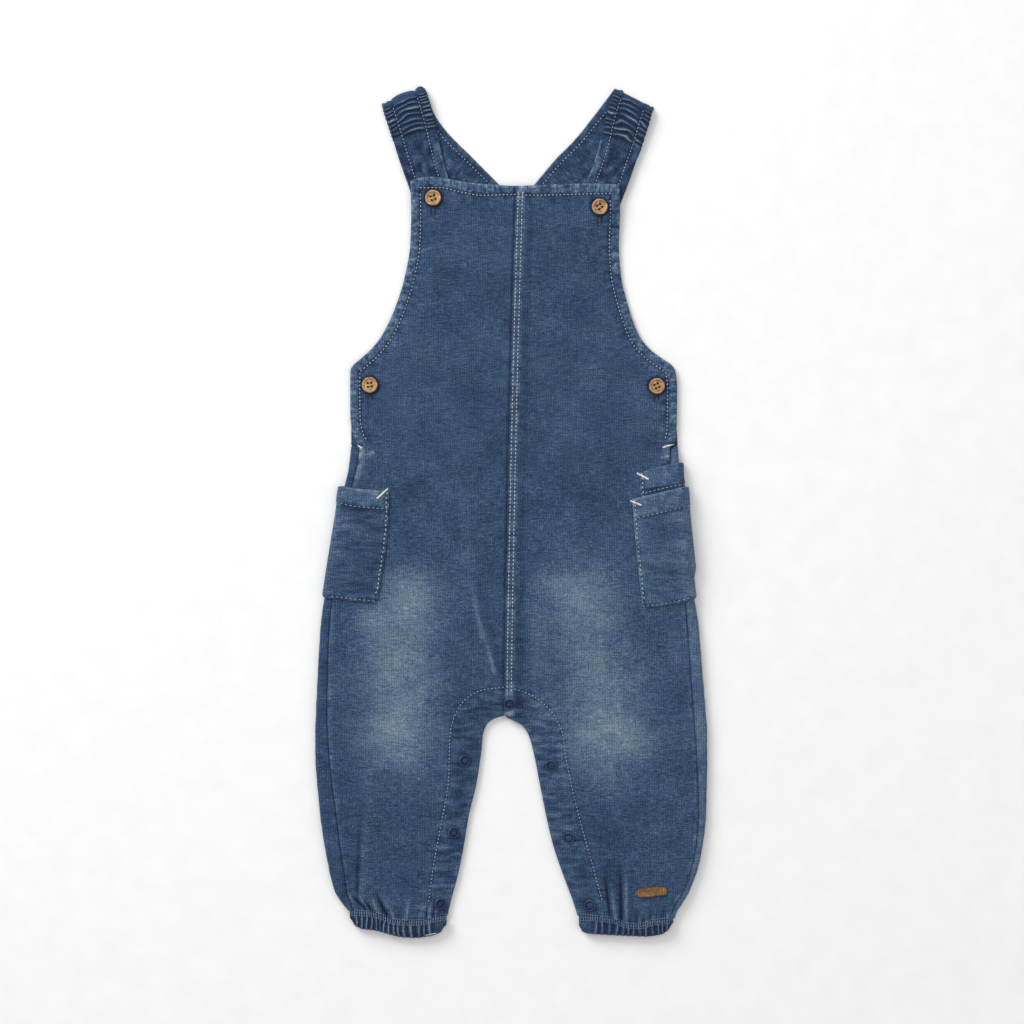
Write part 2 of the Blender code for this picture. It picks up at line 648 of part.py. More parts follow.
def strap(side, back, front, rise, material, parts):
    """One strip: sewn end on the back, shoulder fold, gathered front and buttoned end."""
    bend_rows = 5
    gather_rows = STRAP_GATHERS * 3
    plain = len(front) - 3       # stations past the two that the gathers take
    stops = [("back", k / 2) for k in range(2 * len(back) - 2)]
    stops += [("bend", k / bend_rows) for k in range(bend_rows + 1)]
    stops += [("front", 2.0 * (k + 1) / gather_rows) for k in range(gather_rows)]
    stops += [("front", 2.0 + k + 1) for k in range(plain)]
    stops += [("front", len(front) - 1.0)]

    fold = back[-1]
    fold_run = Vector((fold.inner_x - fold.outer_x, fold.inner_y - fold.outer_y)).normalized()
    down = Vector((fold_run.y, -fold_run.x))
    if down.y > 0:
        down.negate()

    def station(table, at, name):
        return through(list(range(len(table))), [getattr(row, name) for row in table], at)

    def corner(table, at, share):
        x = station(table, at, "outer_x") * (1 - share) + station(table, at, "inner_x") * share
        y = station(table, at, "outer_y") * (1 - share) + station(table, at, "inner_y") * share
        return x, y

    def front_rise(y):
        over_bib = BIB_CLIMB * ease((y - BIB_CLIMB_Y) / BIB_CLIMB_RUN)
        over_gathers = GATHER_CLIMB * ease((y - GATHER_CLIMB_Y) / GATHER_CLIMB_RUN)
        return over_bib + over_gathers + STRAP_WALL

    def place(step, row):
        share = CHANNELS[step]
        kind, at = stops[row]
        if kind == "back":
            x, y = corner(back, at, share)
            return x, y, rise(y)
        if kind == "front":
            x, y = corner(front, at, share)
            near = ease(1.0 - at / 2.0)
            top = front_rise(y)
            start = 2 * FOLD_RADIUS
            pull = FOLD_RADIUS * max(0.0, 1.0 - at / 0.6)
            return x + down.x * pull, y + down.y * pull, top + (start - top) * near
        x, y = corner(back, len(back) - 1, share)
        angle = math.pi * at
        inset = FOLD_RADIUS * (1.0 - math.sin(angle))
        return (x + down.x * inset, y + down.y * inset,
                FOLD_RADIUS * (1.0 - math.cos(angle)))

    def relief(step, row):
        kind, at = stops[row]
        if kind != "front" or at > 2.0:
            return 0.0
        channel = CHANNELS[step]
        seam = 0.25 if channel in (0.22, 0.78) else 1.0
        shift = 0.0 if 0.22 <= channel <= 0.78 else 0.35
        wave = 0.5 - 0.5 * math.cos(2 * math.pi * (STRAP_GATHERS * at / 2.0 + shift))
        return STRAP_RELIEF * seam * wave * ease((2.0 - at) / 0.2) * ease(at / 0.2)

    size = (len(CHANNELS) - 1, len(stops) - 1)
    return gathered("strap_" + side, size, place, relief, STRAP_WALL, material, parts,
                    side == "left")


def left_strap_rise(y):
    """Underside of the left strap's back part: on the surface, then up onto the back panel."""
    return LAYER * ease((191.0 - y) / 12.0)


def right_strap_rise(y):
    """The right strap does the same and crosses over the left one."""
    crossing = (STRAP_WALL + GAP + 0.25) * ease((217.0 - y) / 13.0) * ease((y - 147.0) / 12.0)
    return left_strap_rise(y) + crossing


def pocket(name, shape, material, parts):
    """A patch that runs over the front, round the side fold and in under the back."""
    outward = sign_of(shape.side)
    front_steps, under_steps, rows = len(PATCH_COLUMNS) - 1, 3, 9
    columns = front_steps + BEND_STEPS + under_steps

    def offset(x, y):
        share = upper_pocket_share(x, y) if shape.beneath else 0.0
        return LAYER + 0.1 + (LAYER + 0.25) * share

    def underside(x, y):
        if shape is not POCKET_RIGHT_UPPER:
            return 0.0
        return UPPER_STEP * pocket_cover(POCKET_RIGHT, x, y)

    def place(step, row):
        up = row / rows
        y = 0.0
        for _ in range(3):
            side_x = back_edge(shape.side, y)
            mouth, foot = line_y(shape.mouth, side_x), line_y(shape.foot, side_x)
            y = foot + (mouth - foot) * up
        edge, radius, base = fold_shape(shape.side, y)
        fold_x = edge - outward * radius + outward * shape.gape * ease((up - 0.72) / 0.28)
        if step <= front_steps:
            share = PATCH_COLUMNS[step]
            for _ in range(3):
                inner = line_x(shape.inner, y)
                x = inner + (fold_x - inner) * share
                mouth, foot = line_y(shape.mouth, x), line_y(shape.foot, x)
                y = foot + (mouth - foot) * up
            return x, y, front_top(x, y) + offset(x, y)
        if step <= front_steps + BEND_STEPS:
            angle = math.pi * (step - front_steps) / BEND_STEPS
            x = fold_x + outward * (radius + offset(edge, y)) * math.sin(angle)
            top = base + 2 * radius + offset(edge, y)
            bottom = underside(edge, y)
            return x, y, (top + bottom) / 2 + (top - bottom) / 2 * math.cos(angle)
        share = (step - front_steps - BEND_STEPS) / under_steps
        x = fold_x - outward * shape.under * share
        return x, y, underside(x, y)

    return cloth(name, (columns, rows), place, CLOTH, material, parts, outward < 0)


# ---------------------------------------------------------------- hard pieces

def turned(name, profile, segments, material, parts):
    """A round piece from a half profile, top centre to bottom centre, about Z."""
    bm = bmesh.new()
    verts = [bm.verts.new((radius * MM, 0.0, height * MM)) for radius, height in profile]
    for first, second in zip(verts, verts[1:]):
        bm.edges.new((first, second))
    piece = finish(name, bm, material, parts)
    screw = piece.modifiers.new("Turning", "SCREW")
    screw.angle = 2 * math.pi
    screw.steps = segments
    screw.render_steps = segments
    screw.use_merge_vertices = True
    screw.merge_threshold = 0.00001
    screw.use_smooth_shade = True
    return piece


def seat(piece, spot, clearance, turn=0.0):
    """Lays a piece on the front at a spot, square to the cloth."""
    reach = 3.0
    slope_x = (front_face(spot.x + reach, spot.y) - front_face(spot.x - reach, spot.y)) / (2 * reach)
    slope_y = (front_face(spot.x, spot.y + reach) - front_face(spot.x, spot.y - reach)) / (2 * reach)
    normal = Vector((-slope_x, -slope_y, 1.0)).normalized()
    base = Vector((spot.x, spot.y, front_face(spot.x, spot.y)))
    piece.location = (base + normal * clearance) * MM
    tilt = Vector((0.0, 0.0, 1.0)).rotation_difference(normal)
    piece.rotation_mode = "QUATERNION"
    spin = Vector((math.cos(turn), math.sin(turn), 0.0))
    piece.rotation_quaternion = tilt @ Vector((1.0, 0.0, 0.0)).rotation_difference(spin)


def button(name, spot, material, parts):
    radius, thick = BUTTON_RADIUS, BUTTON_THICK
    profile = (
        (0.0, thick - 0.7), (radius * 0.62, thick - 0.7), (radius * 0.74, thick - 0.1),
        (radius * 0.86, thick), (radius, thick - 0.6), (radius, 0.7), (radius * 0.8, 0.0),
        (0.0, 0.0))
    piece = turned(name, profile, 16, material, parts)
    seat(piece, spot, GAP + 0.25)


def snap(name, spot, material, parts):
    radius, thick = SNAP_RADIUS, SNAP_THICK
    profile = (
        (0.0, thick * 0.55), (radius * 0.55, thick * 0.55), (radius * 0.8, thick),
        (radius, thick * 0.4), (radius * 0.95, 0.0), (0.0, 0.0))
    piece = turned(name, profile, 12, material, parts)
    seat(piece, spot, GAP + 0.1)


def tag(material, parts):
    """Small bare leather tag with tapered ends."""
    half, wide = TAG_LENGTH / 2, TAG_WIDTH / 2
    outline = (
        (-half, 0.3), (-half + 1.8, wide * 0.8), (-half + 4.0, wide), (half - 1.2, wide),
        (half, wide * 0.6), (half, -wide * 0.6), (half - 1.2, -wide), (-half + 4.0, -wide),
        (-half + 1.8, -wide * 0.8), (-half, -0.3))
    bm = bmesh.new()
    base = bm.faces.new([bm.verts.new((x * MM, y * MM, 0.0)) for x, y in outline])
    grown = bmesh.ops.extrude_face_region(bm, geom=[base])
    for item in grown["geom"]:
        if isinstance(item, bmesh.types.BMVert):
            item.co.z += TAG_THICK * MM
    bmesh.ops.recalc_face_normals(bm, faces=bm.faces)
    piece = finish("leather_tag", bm, material, parts)
    seat(piece, TAG_PLACE, GAP + 0.35, TAG_TURN)


def main():
    for old in list(bpy.data.objects):
        bpy.data.objects.remove(old, do_unlink=True)
    parts = collection_named("baby_dungarees")
    for side in ("left", "right"):
        front_half(side, material_of("Denim front " + side, DENIM_FRONT, 0.9), parts)
        back_half(side, material_of("Denim back " + side, DENIM_BACK, 0.9), parts)
        cuff(side, material_of("Denim cuff " + side, DENIM_FRONT, 0.9), parts)
    strap("left", BACK_STRAP_LEFT, FRONT_STRAP_LEFT, left_strap_rise,
          material_of("Denim strap left", DENIM_BACK, 0.9), parts)
    strap("right", BACK_STRAP_RIGHT, FRONT_STRAP_RIGHT, right_strap_rise,
          material_of("Denim strap right", DENIM_BACK, 0.9), parts)
    pocket("pocket_left", POCKET_LEFT,
           material_of("Denim pocket left", DENIM_LIGHT, 0.9), parts)
    pocket("pocket_right_upper", POCKET_RIGHT_UPPER,
           material_of("Denim pocket right upper", DENIM_LIGHT, 0.9), parts)
    pocket("pocket_right", POCKET_RIGHT,
           material_of("Denim pocket right", DENIM_LIGHT, 0.9), parts)
    for name, spot in BUTTONS:
        button(name, spot, material_of("Wood " + name, WOOD, 0.55), parts)
    for name, spot in SNAPS:
        snap(name, spot, material_of("Metal " + name, DARK_METAL, 0.4, 0.8), parts)
    tag(material_of("Leather tag", LEATHER, 0.7), parts)

    garment = bpy.data.objects.new("garment", None)
    garment.location = OUTLINE_SHIFT * MM
    parts.objects.link(garment)
    for piece in parts.objects:
        if piece is not garment:
            piece.parent = garment


main()
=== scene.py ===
"""Looks of the baby dungarees: denim-look jersey cloth, stitches, buttons, snaps, tag and stage.

Every piece is made in the garment's own drawing, in millimetres, with +X to the viewer's right,
+Y to the straps and +Z up from the surface that the garment lies on. One function turns a point
of the drawing to metres in the frame.
"""

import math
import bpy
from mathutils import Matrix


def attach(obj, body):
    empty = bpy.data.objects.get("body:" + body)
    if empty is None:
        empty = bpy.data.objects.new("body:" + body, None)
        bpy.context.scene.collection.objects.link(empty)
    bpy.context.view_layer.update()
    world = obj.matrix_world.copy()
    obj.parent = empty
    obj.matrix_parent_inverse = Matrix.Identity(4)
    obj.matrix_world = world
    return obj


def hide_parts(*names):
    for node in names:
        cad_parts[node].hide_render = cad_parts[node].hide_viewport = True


bl_info = {
    "name": "Baby dungarees",
    "version": (1, 0, 0),
    "blender": (4, 5, 0),
    "location": "3D View > Sidebar > Dungarees",
    "description": "Cloth, sewing, buttons and stage of a pair of baby dungarees laid flat",
    "category": "Object",
}

from bisect import bisect_right
from collections import namedtuple
from functools import lru_cache

import bmesh
import bpy
from mathutils import Matrix, Vector, noise
from mathutils.bvhtree import BVHTree
from mathutils.kdtree import KDTree

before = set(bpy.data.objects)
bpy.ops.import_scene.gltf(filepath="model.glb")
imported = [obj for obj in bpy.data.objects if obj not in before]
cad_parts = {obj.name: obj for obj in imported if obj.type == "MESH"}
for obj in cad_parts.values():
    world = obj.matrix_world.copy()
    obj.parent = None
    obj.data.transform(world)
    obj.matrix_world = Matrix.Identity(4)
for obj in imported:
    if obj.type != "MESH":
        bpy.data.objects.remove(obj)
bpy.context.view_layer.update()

MM = 0.001
DRAWING_SHIFT = Vector((0.72, 0.40, 0.0))    # from the drawing's middle to the outline's middle

Pair = namedtuple("Pair", "y left right")
Height = namedtuple("Height", "y left middle right")
Spot = namedtuple("Spot", "x y")
Crease = namedtuple("Crease", "low_x low_y top_x top_y depth width")
Station = namedtuple("Station", "inner_x inner_y outer_x outer_y")
Pocket = namedtuple("Pocket", "side mouth foot inner under gape beneath")
Fade = namedtuple("Fade", "x y wide tall strength")
Tack = namedtuple("Tack", "ax ay bx by wide")
Lamp = namedtuple("Lamp", "name place size power")


def rows_of(kind, *rows):
    return tuple(kind(*row) for row in rows)


CLOTH = 1.3              # jersey wall of the panels and pockets
STRAP_WALL = 1.6
CUFF_WALL = 2.0
GAP = 0.3                # between pieces at a seam
LAYER = CLOTH + GAP
SIDE_ROLL = 22.0         # the front falls to its outer edge over this width,
LEG_ROLL = 14.0          # and to the leg opening's edge over this one,
LEG_EDGE_TOP = 3.0       # down to this height
LAP = 6.2                # width of the felled centre-front seam
LAP_SLOPE = 6.0          # its rise dies out beside it over this width
LAP_RISE = CLOTH + 0.55  # of the lap over the other half
BIB_BEND_Y = 180.0       # cross sections above it bend to follow the bib's top,
BIB_ROW = 214.0          # which is the highest section
CUFF_BEND_Y = -215.0     # those below it bend to follow the cuffs' tops,
CUFF_ROW = -262.0        # which are the lowest section
WRAP_START_Y = 47.0      # the back starts to turn over the side fold here,
WRAP_FULL_Y = 39.0       # and is turned all the way from here down
MIN_STRIP = 0.4          # least and greatest width of what shows of the back
MAX_STRIP = 8.0          # beside the front
BACK_SHORT = 0.3         # the back ends this much above the front at the cuffs
FOLD_RADIUS = 2.1        # of the straps' shoulder folds
POCKET_MARGIN = 4.0      # the back stays raised this far round a pocket
POCKET_STEP = 1.9        # rise of the back over a pocket,
UPPER_STEP = 1.72        # and of the upper pocket over the main one
PLY_ROOM = 1.0           # least room between back and front over the pockets
BUTTON_RADIUS = 5.2
BUTTON_THICK = 2.3
SNAP_RADIUS = 3.75
SNAP_THICK = 0.9
HEM_INSET = 5.5          # from the bib's edge to its stitches
FLOOR_DROP = 0.56        # the cloth rests on its seams, this much over the floor
FRONT_WIDE = 104.0       # width of a front half at its widest
STRAP_WIDE = 26.0
CUFF_HIGH = 9.0
ARMHOLE_FOOT = 42.0      # the front's outer edge is the armhole above it and the side seam below
LAP_FOOT = -130.5        # the lap passes into the leg openings here
OPENINGS_TOP = -95.0     # above it the leg openings are too far away to matter
FACING_TOP = -108.0      # upper end of the ripples across the leg openings' facing
POCKETS_FOOT, POCKETS_TOP = -75.0, 50.0   # the back is raised over the pockets between them
CUFF_DRAW = 12.0         # the cuffs' gathers draw in the front this far up
RELIEF_REACH = 14.0      # stitches leave the cloth alone beyond it
GATHER_END = 2.0         # station of a strap's front part where its gathers end
BACK_COARSER = 1.7       # the back's cells are this much longer, because it shows less
CAMERA_PLACE = (0.00046, 0.00053, 3.005)   # metres, over the photograph's middle
CAMERA_LENS = 164.8      # 36 mm sensor: the frame is 655 mm wide on the surface
LAMPS = rows_of(Lamp, ("key", (-1.3, 1.5, 1.25), 1.3, 44.0), ("fill", (1.4, -0.6, 1.9), 1.6, 7.0),
                ("top", (0.0, 0.1, 2.6), 2.2, 17.0))
# How pale each cloth is washed, from 0 for unworn to 1
WASH = {"front": 0.397, "back": 0.385, "cuffs": 0.385, "strap left": 0.33,
        "strap right": 0.33, "pockets": 0.44, "in the snaps": 0.41}

# Outer edge of the front: armhole and side above ARMHOLE_FOOT, side seam below
FRONT_EDGE = rows_of(
    Pair, (-262, -100.3, 99.6), (-251, -103.2, 104.6), (-242, -106.0, 109.8),
    (-232, -107.3, 113.5), (-213, -110.2, 117.6), (-194, -112.7, 119.0), (-160, -116.8, 118.0),
    (-130, -118.4, 116.0), (-95, -118.0, 113.4), (-54, -115.2, 110.4), (0, -105.8, 104.6),
    (17, -102.4, 102.2), (36, -98.4, 100.8), (42, -98.2, 101.3), (46, -100.8, 104.6),
    (62, -103.8, 105.4), (80, -103.9, 105.5), (90.5, -103.8, 104.3), (94, -102.1, 102.3),
    (98, -97.6, 96.6), (104, -90.9, 88.5), (113, -83.7, 81.2), (133, -74.4, 73.9),
    (152, -68.7, 69.5), (171, -65.5, 68.2), (190, -64.9, 68.9), (214, -65.4, 68.4))
# Outline of the back: the side fold below y = 46, its flat edge under the bib above
BACK_EDGE = rows_of(
    Pair, (-262, -104.0, 103.2), (-256, -104.9, 105.3), (-251, -108.6, 108.6),
    (-242, -114.1, 113.7), (-223, -118.6, 120.1), (-194, -123.1, 124.0), (-150, -126.3, 124.8),
    (-98, -124.4, 121.3), (-70, -122.5, 118.9), (-54, -120.3, 116.3), (-20, -115.0, 112.4),
    (0, -111.6, 110.3), (17, -107.5, 108.6), (27, -105.1, 107.0), (46, -103.3, 105.7),
    (62, -103.2, 104.6), (88, -101.2, 102.0), (94, -97.0, 97.0), (104, -83.0, 81.0),
    (123, -68.0, 67.0), (152, -50.0, 50.0), (172, -34.0, 34.0))
# Top of the front panel above the surface, at its edges and in the flat between them
FRONT_HEIGHT = rows_of(
    Height, (-262, 5.2, 5.5, 5.2), (-242, 5.3, 5.7, 5.3), (-213, 5.6, 5.9, 5.6),
    (-70, 5.6, 6.0, 5.6), (-54, 5.7, 6.0, 6.1), (-20, 5.8, 6.0, 7.0), (8, 5.7, 6.0, 7.1),
    (17, 5.4, 5.8, 7.0), (27, 4.5, 5.6, 6.0), (36, 3.6, 5.4, 4.8), (42, 3.2, 5.4, 3.4),
    (46, 3.1, 5.4, 3.1), (95, 3.2, 5.4, 3.2), (142, 2.4, 5.9, 2.4), (161, 2.6, 7.1, 2.6),
    (178, 3.1, 7.1, 3.1), (188, 3.8, 6.4, 3.8), (204, 5.4, 5.6, 5.4), (214, 5.4, 5.4, 5.4))
CENTRE_LINE = rows_of(
    Spot, (-2.2, -128), (-1.9, -101), (1.3, 66), (5.2, 207))
LEG_OPENING = rows_of(
    Pair, (-262, -42.2, 42.7), (-251, -39.9, 39.4), (-232, -34.8, 32.4), (-213, -31.0, 26.0),
    (-194, -27.8, 21.5), (-175, -23.3, 17.7), (-155, -20.1, 13.8), (-142, -18.7, 10.0),
    (-136, -16.4, 5.6), (-133.6, -14.0, 1.0), (-131.6, -10.0, -3.2), (-130, -4.5, -5.1))
CROTCH_Y = -128.0
BIB_TOP = rows_of(
    Spot, (-65.4, 212.0), (-60, 214.2), (-52, 214.8), (-43, 213.6), (-24, 210.6), (5, 208.9),
    (29, 210.0), (53, 210.4), (68.4, 209.8))
CUFF_TOP = rows_of(
    Spot, (-104, -255.4), (-92, -256.0), (-83, -258.2), (-76, -261.0), (-62, -261.8),
    (-42, -258.4), (42, -258.6), (63, -260.0), (76, -264.0), (84, -263.7), (90, -261.6),
    (104, -260.5))
CUFF_HEM = rows_of(
    Spot, (-104.4, -260.4), (-100.7, -264.6), (-96, -266.8), (-89, -267.6), (-81, -269.6),
    (-72, -271.9), (-63, -272.5), (-54, -271.6), (-46.6, -269.3), (-42.0, -264.2), (42.5, -264.9),
    (44.8, -268.4), (49, -269.8), (69, -271.0), (85, -271.6), (95, -270.4), (100.5, -266.8),
    (103.4, -262.6))
# Creases of the front, from their deep end to where they die out; a ridge has a depth below 0.
# The cuffs draw in the first rows, and the crotch those after them.
CREASES = rows_of(
    Crease, (-95.5, -252.5, -106.0, -243, 1.9, 1.4), (-88.8, -257, -98.0, -244, 2.0, 1.4),
    (-79.5, -260, -88.8, -241, 2.0, 1.5), (-67.8, -261, -66.0, -245, -1.1, 1.6),
    (-55.2, -260, -54.0, -249, 0.9, 1.4), (-50.8, -260, -49.2, -249, 0.7, 1.3),
    (-93.8, -252, -101.5, -240, -0.5, 1.7), (-85.0, -257, -93.0, -241, -0.6, 1.8),
    (-75.5, -260, -80.5, -246, -0.4, 1.8), (-61.5, -262, -59.5, -252, 0.4, 1.3),
    (-73.0, -261, -72.0, -253, 0.4, 1.3), (-99.0, -247, -99.8, -233, 0.5, 1.6),
    (-99.5, -243, -96.8, -176, 0.8, 2.0), (54.5, -260, 53.0, -250, 0.5, 1.5),
    (62.5, -259, 58.4, -226, 1.4, 1.5), (65.8, -260, 63.0, -232, -0.6, 1.8),
    (69.8, -261, 69.0, -220, 1.7, 1.6), (73.4, -262, 72.4, -226, -0.6, 1.8),
    (79.0, -264, 80.5, -250, 0.6, 1.5), (88.5, -262, 88.0, -248, 0.6, 1.6),
    (96.0, -261, 97.5, -250, 0.6, 1.5), (47.5, -259, 47.0, -251, 0.4, 1.4),
    (58.5, -260, 57.0, -249, 0.4, 1.4), (74.5, -264, 75.0, -254, 0.4, 1.4),
    (83.5, -264, 84.5, -254, 0.4, 1.4), (92.5, -261, 93.0, -252, 0.4, 1.3),
    (-53.6, -260, -52.6, -249, -0.8, 1.3), (-49.4, -260, -48.4, -249, -0.8, 1.2),
    (-12.0, -101, -20.5, -68, -0.95, 2.6), (-19.6, -80, -28.5, -34, -0.75, 3.0),
    (14.5, -116, 13.0, -80, -0.30, 2.2), (-7.5, -110, -13.0, -96, -0.25, 1.8),
    (14.0, -120, 30.0, -106, 0.20, 2.4), (-20.0, -120, -36.0, -108, 0.20, 2.4),
    (-93.0, 88, -76.0, 74, 0.20, 3.4), (92.0, 88, 76.0, 72, 0.20, 3.4))
# Patches where the cloth is washed paler than round them, or is darker, with a strength below 0.
# The darker ones beside the leg creases, at (-108, -186) and (62, -228), are painted shade on
# slopes that face away from the lamps.
FADES_AND_SHADES = rows_of(
    Fade, (-67, -55, 22, 23, 0.56), (-73, -98, 23, 31, 0.64), (-71, -145, 24, 23, 0.62),
    (42, -55, 25, 23, 0.58), (52, -97, 25, 31, 0.42), (62, -142, 27, 27, 0.74),
    (-92, -66, 9, 12, 0.30), (-1.5, -128.5, 4.0, 3.2, 0.60), (105, -84, 7, 28, 0.14),
    (-30, -22, 5, 34, 0.14), (-42, 76, 12, 22, 0.04), (92, 62, 9, 22, 0.10),
    (16, -92, 6, 26, 0.18), (-46, -244, 5, 10, 0.30), (-108, -186, 7, 44, -0.18),
    (62, -228, 14, 30, -0.16), (-50, -226, 16, 14, -0.08), (-62, 8, 13, 30, -0.12),
    (-33, -150, 6, 28, -0.20), (3, -40, 9, 34, -0.14), (4, -84, 6, 34, -0.12),
    (38, 10, 34, 26, -0.10), (-97, 60, 8, 44, -0.10), (0, 192, 70, 24, -0.07),
    (-38, 132, 20, 34, -0.08), (-20, 50, 22, 34, -0.10), (8, 110, 12, 40, -0.05))
BACK_STRAP_LEFT = rows_of(
    Station, (37.0, 164.0, 20.0, 146.4), (26.0, 174.8, 9.0, 157.4), (9.0, 192.0, -8.4, 174.6),
    (-8.6, 210.0, -26.2, 192.8), (-26.0, 227.6, -44.0, 210.0), (-43.0, 244.9, -62.0, 228.5),
    (-50.4, 256.0, -73.5, 243.5), (-56.2, 271.8, -83.9, 260.9))
FRONT_STRAP_LEFT = rows_of(
    Station, (-56.2, 271.8, -83.9, 260.9), (-52.2, 259.5, -79.8, 248.6),
    (-48.8, 246.5, -76.5, 238.5), (-46.6, 235.5, -73.1, 227.5), (-43.5, 222.5, -69.0, 215.5),
    (-40.5, 211.5, -65.5, 205.5), (-38.0, 190.0, -61.5, 185.0))
BACK_STRAP_RIGHT = rows_of(
    Station, (-25.0, 163.0, -6.5, 147.4), (-14.2, 176.0, 4.3, 160.6), (0.0, 193.0, 18.5, 177.6),
    (14.2, 210.0, 32.7, 194.6), (27.7, 226.2, 46.7, 210.4), (40.1, 238.8, 59.5, 222.6),
    (51.8, 253.3, 73.5, 238.5), (65.6, 271.6, 90.7, 258.6))
FRONT_STRAP_RIGHT = rows_of(
    Station, (65.6, 271.6, 90.7, 258.6), (60.6, 258.5, 87.2, 246.5), (57.2, 243.0, 82.9, 233.5),
    (54.8, 232.5, 79.2, 224.5), (51.0, 220.5, 75.0, 212.5), (46.9, 210.3, 71.0, 202.0),
    (41.0, 191.0, 64.0, 184.0))
STRAPS = {"left": (BACK_STRAP_LEFT, FRONT_STRAP_LEFT),
          "right": (BACK_STRAP_RIGHT, FRONT_STRAP_RIGHT)}
STRAP_SEAMS = (0.22, 0.78)   # sewn lines along a strap's front part, as shares of its width
BACK_STRAP_SEAMS = (0.17, 0.83)
STRAP_MOTTLE = 0.5       # washed light and dark on the straps' back parts
STRAP_TONES = {"back": 0.0, "plain": -0.18}
STRAP_LOW = 3.0          # the open back part lies lower than this, and the front part higher
# Valleys between the strap's gathers, as shares of the gathered length, one row for each channel
Gathers = namedtuple("Gathers", "outer middle inner")
STRAP_VALLEYS = Gathers(
    (0.0, 0.11, 0.24, 0.36, 0.50, 0.62, 0.75, 0.88, 1.0),
    (0.0, 0.17, 0.32, 0.45, 0.60, 0.73, 0.87, 1.0),
    (0.0, 0.09, 0.19, 0.28, 0.39, 0.49, 0.59, 0.70, 0.80, 0.90, 1.0))
# How far the folded strap's channels stand out over its straight fold
STRAP_LOBES = {"left": Gathers(0.3, 2.3, 2.2), "right": Gathers(0.1, 0.15, 0.1)}
# Ridges of the cuffs' gathers, from the placket to the side fold
CUFF_RIDGES = {
    "left": (-54.0, -56.3, -59.6, -64.6, -69.6, -73.4, -76.0, -79.3, -82.2, -84.6, -87.5, -90.1,
             -92.6, -96.5, -99.9),
    "right": (54.1, 57.4, 62.0, 66.6, 71.2, 74.4, 77.8, 80.9, 86.0, 90.1, 93.1, 96.4, 99.4),
}
CUFF_PAINTED_HIGHLIGHT = {"left": 2.0, "right": 1.55}          # strength of the painted highlight on the gathers' ridges
PLACKET = 8.2
CENTRE_ROW = 1.35        # from the centre seam's middle to each of its rows
POCKET_TONES = {"left": 0.03, "right": 0.25}       # the right pockets are washed paler,
UPPER_DARKER = 0.26                                # all but the upper one
STRIP_TONES = {"left": -0.04, "right": 0.40}       # and the right side's strip is painted lighter: painted light where it lies in shade, away from the lamps
POCKET_CORNER = 3.2      # radius of a pocket's sewn lower corner
HEM_DEPTHS = {"left": 11.5, "right": 12.9, "right_upper": 14.4}  # from a pocket's mouth to its row
POCKET_ROW = 1.4         # from a pocket's edge to its stitches

POCKET_LEFT = Pocket(
    "left", (Spot(-112, 17.6), Spot(-100, 15.2), Spot(-79, 13.4)),
    (Spot(-122, -54.6), Spot(-100, -57.0), Spot(-86, -58.6)),
    (Spot(-86.6, -58), Spot(-83.8, -42), Spot(-79.3, -6), Spot(-78.8, 14)), 22.0, 2.0, 0)
POCKET_RIGHT_UPPER = Pocket(
    "right", (Spot(81, 25.6), Spot(96, 29.6), Spot(109, 32.2)),
    (Spot(81, -24.0), Spot(113, -28.0)),
    (Spot(83.5, -26), Spot(81.4, 26)), 19.0, 1.0, 0)
POCKET_RIGHT = Pocket(
    "right", (Spot(77, 8.6), Spot(96, 13.0), Spot(112, 17.0)),
    (Spot(83, -61.6), Spot(99, -59.6), Spot(118, -55.2)),
    (Spot(83.2, -61), Spot(78.8, -20), Spot(76.6, 9)), 23.0, 0.4, 1)

POCKETS = {"left": POCKET_LEFT, "right_upper": POCKET_RIGHT_UPPER, "right": POCKET_RIGHT}

BUTTONS = (
    ("button_bib_left", Spot(-50.7, 201.1), 0.32), ("button_bib_right", Spot(55.7, 195.5), 0.62),
    ("button_side_left", Spot(-91.1, 81.4), 0.10), ("button_side_right", Spot(92.2, 80.8), 0.45),
)
SNAPS = (
    ("snap_crotch", Spot(-1.6, -122.6)),
    ("snap_left_upper", Spot(-30.7, -159.0)), ("snap_left_middle", Spot(-37.7, -205.0)),
    ("snap_left_lower", Spot(-46.2, -250.6)), ("snap_right_upper", Spot(25.0, -162.3)),
    ("snap_right_middle", Spot(36.1, -208.4)), ("snap_right_lower", Spot(49.6, -251.8)),
)
TAG_LENGTH, TAG_WIDTH, TAG_THICK = 20.5, 6.2, 1.0
TAG_PLACE, TAG_TURN = Spot(88.7, -243.1), math.radians(5.5)

# Stitch rows of the front, apart from those that follow its edges
FACING_LEFT = rows_of(
    Spot, (-53.6, -248.8), (-50.6, -226.8), (-45.7, -199.9), (-40.8, -170.4), (-39.9, -142.6),
    (-38.7, -135.5), (-33.3, -123.7), (-26.8, -117.2), (-18.2, -113.6), (-6.0, -112.1))
FACING_RIGHT = rows_of(
    Spot, (57.2, -247.6), (50.9, -224.5), (44.9, -203.4), (38.8, -179.1), (34.0, -155.7),
    (31.9, -141.3), (27.3, -130.9), (20.2, -122.8), (11.1, -116.6), (2.0, -113.2))
BIB_TOP_ROW = rows_of(
    Spot, (-58.6, 207.6), (-45.4, 207.6), (-34.6, 205.2), (-18.9, 202.8), (1.6, 203.3),
    (7.6, 202.8), (62.4, 204.0))
BARTACKS = rows_of(
    Tack, (-98.9, 42.8, -96.4, 41.1, 1.4), (96.6, 41.5, 103.2, 43.6, 1.4),
    (-86.3, 8.9, -79.9, 14.8, 1.5), (79.9, 24.8, 86.8, 21.1, 1.6), (75.8, 7.2, 82.3, 4.5, 1.6),
    (-55.1, -270.6, -49.0, -269.2, 0.8))


# ---------------------------------------------------------------- small mathematics

def ease(t):
    """0 below 0, 1 above 1 and a smooth rise between."""
    t = min(max(t, 0.0), 1.0)
    return t * t * (3.0 - 2.0 * t)


def bump(distance, width):
    """1 at 0, dying out over the width."""
    return math.exp(-(distance / width) ** 2)


